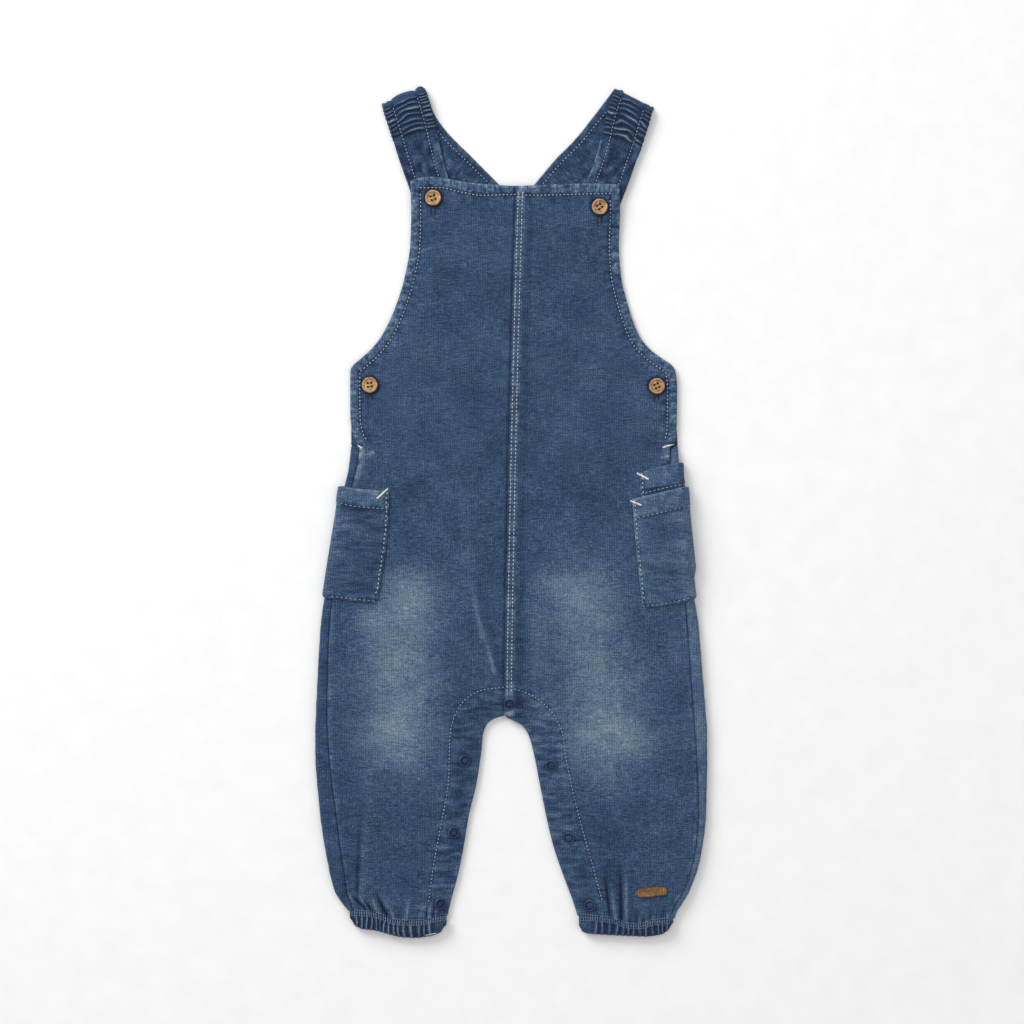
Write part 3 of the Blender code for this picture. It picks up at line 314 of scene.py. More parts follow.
def blended_max(a, b, width):
    near = max(width - abs(a - b), 0.0) / width
    return max(a, b) + near * near * width / 4


def ripple(along, across, seed):
    """Uneven smooth waves between -1 and 1. Each use has its own seed, so no two are alike."""
    return noise.noise(Vector((along, across, seed))) * 1.6


def curve(xs, ys):
    """Function for the smooth line through the points, which never swings past them."""
    steps = [b - a for a, b in zip(xs, xs[1:])]
    rates = [(b - a) / h for a, b, h in zip(ys, ys[1:], steps)]
    slopes = [rates[0]]
    for before, after in zip(rates, rates[1:]):
        slopes.append(2 * before * after / (before + after) if before * after > 0 else 0.0)
    slopes.append(rates[-1])

    def at(x):
        if x <= xs[0]:
            return ys[0]
        if x >= xs[-1]:
            return ys[-1]
        k = bisect_right(xs, x) - 1
        h = steps[k]
        t = (x - xs[k]) / h
        a = (1 + 2 * t) * (1 - t) ** 2
        b = t * (1 - t) ** 2
        d = t * t * (t - 1)
        return (a * ys[k] + b * slopes[k] * h + (1 - a) * ys[k + 1] + d * slopes[k + 1] * h)
    return at


def column(table, name):
    return curve([row.y for row in table], [getattr(row, name) for row in table])


@lru_cache(None)
def over_x(spots):
    return curve([s.x for s in spots], [s.y for s in spots])


@lru_cache(None)
def over_y(spots):
    return curve([s.y for s in spots], [s.x for s in spots])


SIDES = ("left", "right")
front_edge = {side: column(FRONT_EDGE, side) for side in SIDES}
back_edge = {side: column(BACK_EDGE, side) for side in SIDES}
leg_opening = {side: column(LEG_OPENING, side) for side in SIDES}
height_of = {name: column(FRONT_HEIGHT, name) for name in ("left", "middle", "right")}
centre_x = over_y(CENTRE_LINE)
bib_top = over_x(BIB_TOP)
cuff_top = over_x(CUFF_TOP)
cuff_hem = over_x(CUFF_HEM)
OUTWARD = {"left": -1.0, "right": 1.0}


def resampled(points, step):
    """The line through the points as spots an even step apart, with each one's length along it."""
    points = [b for a, b in zip([(1e9, 0.0), *points], points) if math.dist(a[:2], b[:2]) > 0.01]
    lengths = [0.0]
    for a, b in zip(points, points[1:]):
        lengths.append(lengths[-1] + math.dist(a, b))
    count = max(2, round(lengths[-1] / step) + 1)
    at_x = curve(lengths, [p[0] for p in points])
    at_y = curve(lengths, [p[1] for p in points])
    stops = [lengths[-1] * k / (count - 1) for k in range(count)]
    return [(at_x(s), at_y(s), s) for s in stops]


class Rows:
    """Sewn lines of a piece, to find how far a point is from the nearest one."""

    def __init__(self, lines):
        self.spots = []
        for number, line in enumerate(lines):
            dense = resampled(line, 0.6)
            for k, (x, y, s) in enumerate(dense):
                bx, by, _ = dense[min(k + 1, len(dense) - 1)]
                ax, ay, _ = dense[max(k - 1, 0)]
                run = math.hypot(bx - ax, by - ay)
                self.spots.append((x, y, s, (bx - ax) / run, (by - ay) / run, number))
        self.tree = KDTree(len(self.spots))
        for k, spot in enumerate(self.spots):
            self.tree.insert((spot[0], spot[1], 0.0), k)
        self.tree.balance()

    def near(self, x, y):
        """Signed distance to the nearest row, left of its run being positive, length and row."""
        _, k, _ = self.tree.find((x, y, 0.0))
        sx, sy, s, tx, ty, number = self.spots[k]
        side = tx * (y - sy) - ty * (x - sx)
        along = tx * (x - sx) + ty * (y - sy)
        gone = abs(along) > 1.0
        distance = math.hypot(x - sx, y - sy)
        return math.copysign(distance if gone else abs(side), side), s + along, number


# ---------------------------------------------------------------- the laid garment

def row_y(nominal, x):
    """Height at x of a cross section, which bends to the bib top and the cuff seam."""
    if nominal > BIB_BEND_Y:
        share = (nominal - BIB_BEND_Y) / (BIB_ROW - BIB_BEND_Y)
        return BIB_BEND_Y + share * (bib_top(x) - BIB_BEND_Y)
    if nominal < CUFF_BEND_Y:
        share = (nominal - CUFF_BEND_Y) / (CUFF_ROW - CUFF_BEND_Y)
        return CUFF_BEND_Y + share * (cuff_top(x) + GAP / 2 - CUFF_BEND_Y)
    return nominal


def back_row_y(nominal, x):
    if nominal > BIB_BEND_Y:
        return nominal
    short = max(0.0, (nominal - CUFF_BEND_Y) / (CUFF_ROW - CUFF_BEND_Y))
    return row_y(nominal, x) + BACK_SHORT * short


def front_inner(side, y):
    """Inner edge of a front half: the lap above the crotch, the leg opening below."""
    top = centre_x(y) - OUTWARD[side] * LAP / 2
    opening = leg_opening[side](y)
    return opening + (top - opening) * ease((y - LAP_FOOT) / 3.0)


def back_inner(side, y):
    outward = OUTWARD[side]
    opening = leg_opening[side](y) + outward * 0.8
    seam = centre_x(y) + outward * GAP / 2
    inner = opening + (seam - opening) * ease((y - CROTCH_Y) / 5.0)
    return max(inner, seam) if side == "right" else min(inner, seam)


def opening_distance(x, y):
    """Distance from the leg opening's edge, large away from it."""
    if y > OPENINGS_TOP:
        return 1000.0
    nearest = 1000.0
    for side in SIDES:
        points = [(getattr(row, side), row.y) for row in LEG_OPENING]
        for (ax, ay), (bx, by) in zip(points, points[1:]):
            if min(ay, by) - 20 > y or max(ay, by) + 20 < y:
                continue
            along_x, along_y = bx - ax, by - ay
            t = ((x - ax) * along_x + (y - ay) * along_y) / (along_x ** 2 + along_y ** 2)
            t = min(max(t, 0.0), 1.0)
            nearest = min(nearest, math.hypot(x - ax - t * along_x, y - ay - t * along_y))
    return nearest


def inside(distance, solid, fade):
    return 1.0 - ease((distance - solid) / fade)


def pocket_cover(pocket, x, y):
    """1 where a pocket lies under the garment, easing to 0 round it."""
    fold = back_edge[pocket.side](y)
    over = inside(y - over_x(pocket.mouth)(fold), POCKET_MARGIN, 8.0)
    below = inside(over_x(pocket.foot)(fold) - y, POCKET_MARGIN, 9.0)
    return inside(abs(fold - x), pocket.under + 5.5, 11.0) * over * below


def lift(side, x, y):
    """Rise of the back panel's underside over the pockets that wrap below it."""
    if not POCKETS_FOOT < y < POCKETS_TOP:
        return 0.0
    if side == "left":
        return POCKET_STEP * pocket_cover(POCKET_LEFT, x, y)
    both = pocket_cover(POCKET_RIGHT, x, y) + pocket_cover(POCKET_RIGHT_UPPER, x, y)
    return POCKET_STEP * both


def upper_pocket_share(x, y):
    """1 where the upper right pocket lies under the main one."""
    if x < 40.0:
        return 0.0
    inner = over_y(POCKET_RIGHT_UPPER.inner)(y)
    below = inside(over_x(POCKET_RIGHT_UPPER.foot)(x) - y, POCKET_MARGIN + 2.0, 9.0)
    return ease((x - inner + 5.0) / 3.6) * below


def fold_shape(side, y):
    """Edge, radius and base height of the side fold at height y."""
    edge = back_edge[side](y)
    base = lift(side, edge, y)
    return edge, (height_of[side](y) - base) / 2, base


def creases(x, y, table=CREASES):
    """How far the creases sink the cloth at a point, and the tone they leave: painted shade along a
    trough, and a paler low ridge beyond it, partly worn and partly painted highlight.

    A crease is steep on its left and easy on its right, with a low ridge beyond."""
    sunk, tone = 0.0, 0.0
    for crease in table:
        wide = 3.5 * crease.width
        if not (min(crease.low_x, crease.top_x) - wide < x < max(crease.low_x, crease.top_x) + wide
                and crease.low_y - 8.0 < y < crease.top_y + wide):
            continue
        run_x, run_y = crease.top_x - crease.low_x, crease.top_y - crease.low_y
        length = math.hypot(run_x, run_y)
        along = ((x - crease.low_x) * run_x + (y - crease.low_y) * run_y) / length
        aside = ((x - crease.low_x) * run_y - (y - crease.low_y) * run_x) / length
        fade = ease((along + 5.0) / 5.0) * ease((length - along) / (0.7 * length))
        trough = bump(aside, crease.width * (1.25 if aside > 0 else 0.62))
        ridge = bump(aside - 2.0 * crease.width, crease.width)
        sunk += crease.depth * fade * (trough - 0.22 * ridge)
        # Tone: painted shade along the trough and a paler low ridge beyond it, partly worn and
        # partly painted highlight; a depth below 0 gives a pale line with painted shade beside it.
        tone += crease.depth * fade * (0.16 * ridge - 0.52 * bump(aside, 0.5 * crease.width))
    return sunk, tone


def front_top(x, y):
    """The front's top as its solid has it, without creases and without the seam's extra ply."""
    side = "left" if x < centre_x(max(y, CROTCH_Y)) else "right"
    middle, edge = height_of["middle"](y), height_of[side](y)
    reach = abs(front_edge[side](y) - x)
    top = middle - (middle - edge) * (1.0 - ease(reach / SIDE_ROLL))
    top -= (middle - LEG_EDGE_TOP) * (1.0 - ease(opening_distance(x, y) / LEG_ROLL))
    top = max(top, min(LEG_EDGE_TOP, edge))
    if POCKETS_FOOT < y < POCKETS_TOP:
        top = blended_max(top, lift(side, x, y) + 2 * CLOTH + PLY_ROOM, 0.8)
    return top


def lap_lift(x, y):
    across = 1.0 - ease((x - centre_x(y) - LAP / 2 - 0.4) / LAP_SLOPE)
    return LAP_RISE * across * ease((y + 143.0) / 9.0)


def inset_line(side, low, high, inset):
    """Line inside the front's outer edge, from low to high."""
    outline = resampled([(front_edge[side](y / 2), y / 2)
                         for y in range(round(low * 2), round(high * 2) + 1)], 1.0)
    line = []
    for a, b in zip(outline, outline[1:]):
        run = math.dist(a[:2], b[:2])
        inward = -OUTWARD[side] * inset / run
        x = (a[0] + b[0]) / 2 + inward * (b[1] - a[1])
        y = (a[1] + b[1]) / 2 - inward * (b[0] - a[0])
        if min(math.hypot(x - p[0], y - p[1]) for p in outline) > 0.985 * inset:
            line.append((x, y))
    return line[::4] + [line[-1]]


LEFT_HEM = inset_line("left", 43.0, 203.5, HEM_INSET + 0.7)
RIGHT_HEM = inset_line("right", 43.0, 199.5, HEM_INSET + 0.7)
HEM_LINE = LEFT_HEM + [tuple(s) for s in BIB_TOP_ROW] + RIGHT_HEM[::-1]
FACING_LINE = [tuple(s) for s in FACING_LEFT + FACING_RIGHT[::-1]]
HEM = 0                  # the hem's line among FRONT_ROWS
FRONT_ROWS = Rows((HEM_LINE, FACING_LINE))


def sewn_relief(x, y):
    """Groove, thicker hem and puckers along the front's stitches: height and tone, the tone
    painting shade in the groove.
    """
    distance, along, row = FRONT_ROWS.near(x, y)
    if abs(distance) > RELIEF_REACH:
        return 0.0, 0.0
    strength = 1.0 if row == HEM else 0.55
    groove = bump(distance, 0.95)
    # painted shade along the groove
    rise, tone = -0.34 * groove * strength, -0.60 * bump(distance, 0.9) * strength
    if row == HEM and distance > 0:
        waves = ripple(along / 2.7, distance / 7.0, 3.0) * 0.6
        waves += ripple(along / 1.3, distance / 2.2, 5.0) * 0.8
        rise += 0.26 * ease(distance / 1.6) + 0.42 * waves * ease(distance / 1.2)
        tone += 0.18 * ease(distance / 1.3) + 0.58 * waves * ease(distance / 1.1)
    else:
        reach = 5.5 if row == HEM else 4.0
        waves = ripple(along / 3.0, distance / 7.0, 11.0 + row)
        rise += 0.24 * strength * waves * bump(distance, reach) * (1.0 - groove)
        tone += 0.30 * strength * waves * bump(distance, reach)
    return rise, tone


def seam_relief(x, y):
    """The centre-front seam's two rows and the puckers between them, with a painted shadow along
    the lap's left edge and painted shade in the rows.
    """
    off = x - centre_x(y)
    if abs(off) > RELIEF_REACH or y < CROTCH_Y - 2:
        return 0.0, 0.0
    row = max(bump(off - CENTRE_ROW, 0.7), bump(off + CENTRE_ROW, 0.7))
    on_band = inside(abs(off), LAP / 2 - 0.6, 0.9)
    waves = ripple(y / 2.6, off / 5.0, 23.0)
    rise = -0.20 * row + (0.14 * waves + 0.10 * bump(off, 0.9)) * on_band
    # the band is paler; a painted shadow runs along the lap's left edge
    tone = (0.20 + 0.36 * waves) * on_band - 0.46 * bump(off + LAP / 2 + 0.5, 0.9)
    # painted shade in the rows
    tone -= 0.16 * row * on_band
    tone += 0.30 * on_band * (bump(y - 206.0, 9.0) + bump(y + 117.0, 9.0))
    beside = inside(abs(abs(off) - 6.0), 1.0, 5.0) * (1.0 - on_band)
    soft = ripple(y / 5.0, off / 9.0, 29.0)
    return rise + 0.10 * soft * beside, tone + 0.10 * soft * beside


# Tone of the washed patches and of the darker ones, those beside the leg creases being painted
# shade.
def fades_and_painted_shade(x, y):
    total = sum(f.strength * math.exp(-((x - f.x) / f.wide) ** 2 - ((y - f.y) / f.tall) ** 2)
                for f in FADES_AND_SHADES)
    return total * (1.0 + 0.14 * ripple(x / 12.0, y / 7.0, 41.0))


def painted_contact_shadow(x, y):
    """Painted contact shadow: a darker ring on the cloth round each button and each snap."""
    buttons = sum(bump(math.hypot(x - spot.x, y - spot.y) - BUTTON_RADIUS - 0.3, 0.9)
                  for _, spot, _ in BUTTONS)
    snaps = sum(bump(math.hypot(x - spot.x, y - spot.y) - SNAP_RADIUS - 0.2, 0.8)
                for _, spot in SNAPS)
    return -0.75 * buttons - 0.28 * snaps


def inseam_ripples(x, y):
    """Fine ripples across the facing of the leg opening."""
    if y > FACING_TOP:
        return 0.0
    return ripple(y / 2.7, x / 10.0, 91.0) * inside(opening_distance(x, y), 15.0, 12.0)


def soft_lay(x, y):
    """Slow unevenness of cloth that lies by itself."""
    return 0.20 * ripple(x / 34.0, y / 47.0, 7.0) + 0.07 * ripple(x / 13.0, y / 19.0, 9.0)


def cut_edge(distance, width=1.5, drop=0.75):
    """How far a folded edge turns down close to its end."""
    return drop * max(0.0, 1.0 - distance / width) ** 2


def cuff_share(side, x):
    """How far x lies from the placket to the side fold of a cuff, negative on the placket."""
    start = leg_opening[side](CUFF_ROW) + OUTWARD[side] * PLACKET
    return (x - start) / (CUFF_FOOT[side] - start)


def cuff_wave(side, x, sway=0.0):
    """Height and sheen of the cuff's gathers at x, and the gather's number."""
    return gather_wave(min(max(cuff_share(side, x) + sway, 0.0), 1.0), CUFF_VALLEYS[side])


def front_point(side, across, nominal):
    """Point and tone of the front's outer face at a share of its width and a cross section."""
    inner_y = row_y(nominal, front_inner(side, nominal))
    outer_y = row_y(nominal, front_edge[side](nominal))
    inner_x, outer_x = front_inner(side, inner_y), front_edge[side](outer_y)
    x = inner_x + (outer_x - inner_x) * across
    y = row_y(nominal, x)
    width = abs(outer_x - inner_x)
    outer, inner = (1.0 - across) * width, across * width
    sunk, tone = creases(x, y)
    height = front_top(x, y)
    free = ease(outer / 4.5) * ease((height - 3.4) / 1.2)
    # worn is the stitches' tone: painted shade in their groove, and the paler hem and puckers
    rise, worn = sewn_relief(x, y)
    band, band_tone = seam_relief(x, y)
    drawn = inseam_ripples(x, y)
    z = height - sunk * free + rise + soft_lay(x, y) * min(free, ease(inner / 7.0))
    z += 0.10 * drawn * free
    tone = tone * free + worn + fades_and_painted_shade(x, y) + painted_contact_shadow(x, y) + 0.34 * drawn
    if side == "right":
        z += lap_lift(x, y) + band
        tone += band_tone
        if y > CROTCH_Y:
            z -= cut_edge(inner, 1.1, 0.5)
    else:
        tone += band_tone * (1.0 if x < centre_x(y) - LAP / 2 else 0.0)
    if y < CROTCH_Y:
        z -= cut_edge(inner, 1.4, 0.6)
        tone += 0.20 * bump(inner, 1.4)
    z -= cut_edge(bib_top(x) - y, 1.6, 0.8)
    tone += 0.24 * bump(bib_top(x) - y, 1.7)
    above = y - cuff_top(x)
    if above < CUFF_DRAW:
        wave, sheen, _ = cuff_wave(side, x)
        gathered = ease(cuff_share(side, x) * 12.0)
        z += (0.45 * wave * gathered - 0.3) * bump(above, 3.2)
        # painted highlight on the gathers' ridges and painted shade between them; the last rows get
        # painted light that lifts the shadow along the cuff's join
        tone += (0.60 * sheen - 0.22) * gathered * bump(above, 3.6) + 0.20 * bump(above, 0.9)
    if y < ARMHOLE_FOOT:
        waves = ripple(y / 4.2, outer / 8.0, 53.0)
        z += 0.20 * waves * bump(outer, 4.5) - cut_edge(outer, 0.9, 0.25)
        tone += (0.18 + 0.40 * waves) * bump(outer - 1.0, 1.6)
        if side == "left":
            tone += 0.55 * bump(outer - 2.0, 2.2) * bump(y - 30.0, 11.0)
    else:
        z -= cut_edge(outer, 1.6, 0.8)
        tone += 0.24 * bump(outer, 1.5)
    return (x, y, z), tone


# Shallow creases of the back's underside and of the cloth behind the bib
BACK_CREASES = rows_of(
    Crease, (-94, -252, -101, -228, 0.5, 3.0), (-78, -257, -86, -232, 0.6, 3.2),
    (-62, -258, -60, -236, 0.4, 2.8), (-50, -256, -47, -238, 0.4, 2.6),
    (56, -256, 53, -240, 0.4, 2.6), (67, -258, 64, -230, 0.6, 3.2), (80, -260, 82, -238, 0.5, 3.0),
    (93, -256, 96, -236, 0.4, 2.8), (-8, -120, -30, -84, 0.6, 4.5), (9, -118, 30, -80, 0.6, 4.5),
    (-12, -108, -22, -66, 0.4, 3.8), (40, -60, 66, -30, 0.35, 5.0),
    (-70, -40, -44, -66, 0.35, 5.0), (-30, 60, -52, 92, 0.4, 5.0), (34, 52, 56, 88, 0.4, 5.0))
BACK_FLAT, BACK_BEND, BACK_STRIP = 44, 12, 8
SEAM_SHOWN = 0.15        # gap left between the back's strip and the front's edge


def back_point(side, step, nominal):
    """Point and tone of the back's outer face, from the centre-back seam to the side seam."""
    outward = OUTWARD[side]
    y = back_row_y(nominal, back_edge[side](nominal))
    edge, radius, base = fold_shape(side, y)
    wrapped = ease((WRAP_START_Y - y) / (WRAP_START_Y - WRAP_FULL_Y))
    strip = abs(edge - outward * radius - front_edge[side](y)) - SEAM_SHOWN
    strip = min(max(strip, MIN_STRIP), MAX_STRIP)
    full = math.pi * radius + strip              # from the fold's foot to the side seam
    end = full * wrapped
    foot = edge - outward * radius * math.sin(min(end / radius, math.pi / 2))
    if step <= BACK_FLAT:
        inner = back_inner(side, back_row_y(nominal, back_inner(side, nominal)))
        outer = foot + outward * (end - full)
        x = inner + (outer - inner) * step / BACK_FLAT
        y = back_row_y(nominal, x)
        sunk, tone = creases(x, y, BACK_CREASES)
        from_seam, from_edge = abs(x - inner), abs(outer - x)
        z = lift(side, x, y) + max(sunk, 0.0) * ease(from_seam / 6.0)
        # painted shade in the centre-back seam, with paler cloth beside it
        tone = 0.8 * tone - 0.18 * bump(from_seam, 1.2) + 0.10 * bump(from_seam - 3.0, 2.0)
        if y > WRAP_START_Y:
            z += cut_edge(from_edge, 1.4, 0.4)
            waves = ripple(y / 3.5, from_edge / 8.0, 63.0)
            tone += 0.20 * inside(from_edge, 5.0, 1.5) + 0.3 * waves * inside(from_edge, 5.0, 2.0)
        return (x, y, z), tone
    turned = min(step - BACK_FLAT, BACK_BEND) / BACK_BEND * math.pi * radius
    laid = strip * max(0, step - BACK_FLAT - BACK_BEND) / BACK_STRIP
    distance = end - full + turned + laid
    if distance <= 0.0:
        x = foot + outward * distance
        return (x, y, lift(side, x, y)), 0.0
    waves = ripple(y / 5.0, step / 9.0, 61.0)
    near_seam = end - distance
    if distance <= math.pi * radius:
        angle = distance / radius
        bulge = radius + 0.12 * waves * math.sin(angle)
        x, z = foot + outward * bulge * math.sin(angle), base + radius - bulge * math.cos(angle)
    else:
        x, z = foot - outward * (distance - math.pi * radius), base + 2 * radius + 0.14 * waves
    z -= (cut_edge(near_seam, 0.8, 0.2) + 0.2 * bump(near_seam, 2.0)) * wrapped
    # painted shade along the side seam, under the front's edge
    tone = 0.16 * waves * bump(near_seam, 5.0) - 0.30 * bump(near_seam, 0.8) * wrapped
    # painted light on the right strip, which lies in shade away from the lamps
    tone += STRIP_TONES[side] * ease(distance / radius - 0.9) * wrapped
    return (x, y, z), tone


def gather_wave(share, valleys):
    """Height of the gather that a share lies on, the painted highlight on its ridge, and its
    number.
    """
    k = min(max(bisect_right(valleys, share) - 1, 0), len(valleys) - 2)
    off = abs(2.0 * (share - valleys[k]) / (valleys[k + 1] - valleys[k]) - 1.0)
    return max(0.0, 1.0 - off ** 1.6), max(0.0, 1.0 - off) ** 2.6, k


CUFF_FRONT, CUFF_BEND, CUFF_UNDER, CUFF_ROWS = 170, 10, 110, 14
CUFF_BASE, CUFF_RADIUS = 0.8, 2.3
CUFF_FOOT = {"left": -101.6, "right": 100.5}     # where the casing starts to turn under


def shares_between(side):
    """Valleys midway between the cuff's ridges, as shares from the placket to the side fold."""
    ridges = [cuff_share(side, x) for x in CUFF_RIDGES[side]]
    return [0.0] + [(a + b) / 2 for a, b in zip(ridges, ridges[1:])] + [1.0]


CUFF_VALLEYS = {side: shares_between(side) for side in SIDES}


def cuff_point(side, step, row):
    """Elastic casing: front ply, round the outer fold, and back under to the inseam."""
    outward = OUTWARD[side]
    inner_x = leg_opening[side](CUFF_ROW)
    base, radius, foot = CUFF_BASE, CUFF_RADIUS, CUFF_FOOT[side]
    placket_x = inner_x + outward * PLACKET
    down = row / CUFF_ROWS
    crown = 4.0 * down * (1.0 - down)
    if step <= CUFF_FRONT:
        x = inner_x + (foot - inner_x) * step / CUFF_FRONT
        height, facing = base + 2 * radius, (0.0, 1.0)
        seed = 0.0
    elif step <= CUFF_FRONT + CUFF_BEND:
        angle = math.pi * (step - CUFF_FRONT) / CUFF_BEND
        x = foot + outward * radius * math.sin(angle)
        height = base + radius * (1 + math.cos(angle))
        facing = (outward * math.sin(angle), math.cos(angle))
        seed = 0.0
    else:
        share = (step - CUFF_FRONT - CUFF_BEND) / CUFF_UNDER
        x = foot + (inner_x - foot) * share
        height, facing = base, (0.0, -1.0)
        seed = 5.0
    sway = 0.014 * ripple(cuff_share(side, x) * 9.0, down * 1.3, 71.0 + seed)
    wave, sheen, number = cuff_wave(side, x, sway)
    turning = abs(facing[1])
    strength = 0.85 + 0.35 * ripple(number * 1.7, 0.0, 73.0 + seed)
    gathered = ease(outward * (x - placket_x) / 3.0 + 0.5)
    gathered *= 0.25 + 0.75 * ease((down - 0.12) / 0.26)
    full = (0.40 + 0.60 * math.sqrt(max(crown, 0.0))) * strength * gathered * turning
    raised = 1.25 * wave * full - 0.35 * full + 0.35 * crown * (1.0 - gathered) + 0.25 * crown
    if facing[1] < 0:
        raised = min(raised, base)
    hem_turn = cut_edge((1.0 - down) * CUFF_HIGH, 2.2, 1.2) + cut_edge(down * CUFF_HIGH, 1.0, 0.15)
    top, hem = cuff_top(x) + 0.10, cuff_hem(x)
    scallop = 0.35 * (wave - 0.5) * down * gathered * turning
    y = top + (hem - top) * down - scallop
    out = raised - hem_turn
    # painted highlight on the gathers' ridges and painted shade in their valleys
    tone = (CUFF_PAINTED_HIGHLIGHT[side] * sheen * strength - 0.46) * gathered * turning - 0.12
    # the hem's edge is paler; the top row gets painted light that lifts the shadow at the join
    tone += 0.14 * bump((1.0 - down) * CUFF_HIGH, 1.0) + 0.10 * bump(down * CUFF_HIGH, 0.9)
    return (x + facing[0] * out, y, height + facing[1] * out), tone


STRAP_ACROSS = 36
BACK_STEPS, BEND_STEPS, GATHER_STEPS, PLAIN_STEPS = 90, 12, 96, 36


def left_strap_rise(y):
    """Underside of the left strap's back part: on the surface, then up onto the back panel."""
    return LAYER * ease((191.0 - y) / 12.0)


def right_strap_rise(y):
    crossing = (STRAP_WALL + GAP + 0.25) * ease((217.0 - y) / 13.0) * ease((y - 147.0) / 12.0)
    return left_strap_rise(y) + crossing


def strap_point(back, front, rise, lobes, step, row, seed):
    """Point and tone of a strap's outer face, which is the underside of its back part.

    It runs from the sewn end on the back over the shoulder fold to the buttoned end."""
    share = step / STRAP_ACROSS
    fold = back[-1]
    fold_run = Vector((fold.inner_x - fold.outer_x, fold.inner_y - fold.outer_y)).normalized()
    down = Vector((fold_run.y, -fold_run.x))
    if down.y > 0:
        down.negate()

    def corner(table, at):
        lines = strap_lines(table)
        x = lines["outer_x"](at) * (1 - share) + lines["inner_x"](at) * share
        y = lines["outer_y"](at) * (1 - share) + lines["inner_y"](at) * share
        return x, y

    rim = min(share, 1.0 - share) * STRAP_WIDE
    seams = BACK_STRAP_SEAMS if row <= BACK_STEPS else STRAP_SEAMS
    # seam marks the sewn rows, along which the tone paints shade
    seam = max(bump(share - place, 0.028) for place in seams)
    if row <= BACK_STEPS:
        at = (len(back) - 1.0) * row / BACK_STEPS
        x, y = corner(back, at)
        waves = ripple(at * 3.1, share * 3.0, seed)
        z = rise(y) + 0.15 * seam + cut_edge(rim, 1.2, 0.4)
        waves += ripple(at * 9.0, share * 7.0, seed + 11.0)
        tone = STRAP_TONES["back"] + STRAP_MOTTLE * (0.5 * waves + 0.5 * bump(rim, 1.6))
        return (x, y, z), tone - 0.25 * seam
    channel = "outer" if share < STRAP_SEAMS[0] else "inner" if share > STRAP_SEAMS[1] else "middle"
    bounds = {"outer": (0.0, STRAP_SEAMS[0]), "middle": STRAP_SEAMS, "inner": (STRAP_SEAMS[1], 1.0)}
    low, high = bounds[channel]
    within = (share - low) / (high - low)
    pillow = math.sqrt(max(0.0, 4.0 * within * (1.0 - within)))
    if row <= BACK_STEPS + BEND_STEPS:
        angle = math.pi * (row - BACK_STEPS) / BEND_STEPS
        x, y = corner(back, len(back) - 1)
        puff = pillow * math.sin(angle) ** 0.8 * getattr(lobes, channel)
        rounding = max(0.0, 1.0 - rim / 2.4) ** 2
        inset = FOLD_RADIUS * (1.0 - math.sin(angle)) - puff + 1.1 * rounding * math.sin(angle)
        z = FOLD_RADIUS * (1.0 - math.cos(angle))
        tone = 0.10 * math.sin(angle) * pillow - 0.25 * seam
        return (x + down.x * inset, y + down.y * inset, z), tone
    if row <= BACK_STEPS + BEND_STEPS + GATHER_STEPS:
        at = GATHER_END * (row - BACK_STEPS - BEND_STEPS) / GATHER_STEPS
    else:
        plain = row - BACK_STEPS - BEND_STEPS - GATHER_STEPS
        at = GATHER_END + (len(front) - 1.0 - GATHER_END) * plain / PLAIN_STEPS
    x, y = corner(front, at)
    lying = 1.9 * ease((y - 188.0) / 18.0) + 0.7 * ease((y - 235.0) / 20.0) + STRAP_WALL
    near = ease(1.0 - at / GATHER_END)
    z = lying + (2 * FOLD_RADIUS - lying) * near
    pull = FOLD_RADIUS * max(0.0, 1.0 - at / 0.6)
    x, y = x + down.x * pull, y + down.y * pull
    tone = -0.30 * seam
    z -= 0.25 * seam + cut_edge(rim, 1.3, 0.5)
    if at < 2.4:
        bow = {"outer": -0.05 * (1.0 - within), "middle": 0.075 * (1.0 - (2.0 * within - 1.0) ** 2),
               "inner": 0.03 * (1.0 - within)}[channel]
        sway = 0.03 * ripple(at * 2.5, share * 4.0, seed + 3.0)
        length = min(max(at / 2.02 + bow + sway - 0.02, 0.0), 1.0)
        wave, sheen, number = gather_wave(length, getattr(STRAP_VALLEYS, channel))
        strength = 0.85 + 0.4 * ripple(number * 1.9, share * 2.0, seed + 5.0)
        fade = ease((2.12 - at) / 0.16) * ease(at / 0.12)
        spread = 0.35 + 0.65 * pillow
        z += (1.25 * wave - 0.25) * spread * strength * fade
        # painted highlight along the gathers' ridges and painted shade between them
        tone += (1.90 * sheen * spread * strength - 0.56) * fade
        x += (share - 0.5) * 0.9 * wave * fade * (0.4 if channel == "middle" else 1.0)
    else:
        waves = ripple(at * 2.0, share * 7.0, seed + 9.0)
        z += 0.14 * waves
        inner_side = ease((share - STRAP_SEAMS[1]) / 0.06)
        tone += STRAP_TONES["plain"] + 0.50 * waves + 0.30 * inner_side
        # painted highlight along the inner rim
        tone += 0.50 * bump((1.0 - share) * STRAP_WIDE, 1.1)
    return (x, y, z), tone


@lru_cache(None)
def strap_lines(table):
    """Curves of a strap table's four columns over its stations."""
    stations = range(len(table))
    return {name: curve(stations, [getattr(row, name) for row in table])
            for name in Station._fields}


POCKET_FRONT, POCKET_BEND, POCKET_UNDER, POCKET_ROWS = 44, 12, 12, 96


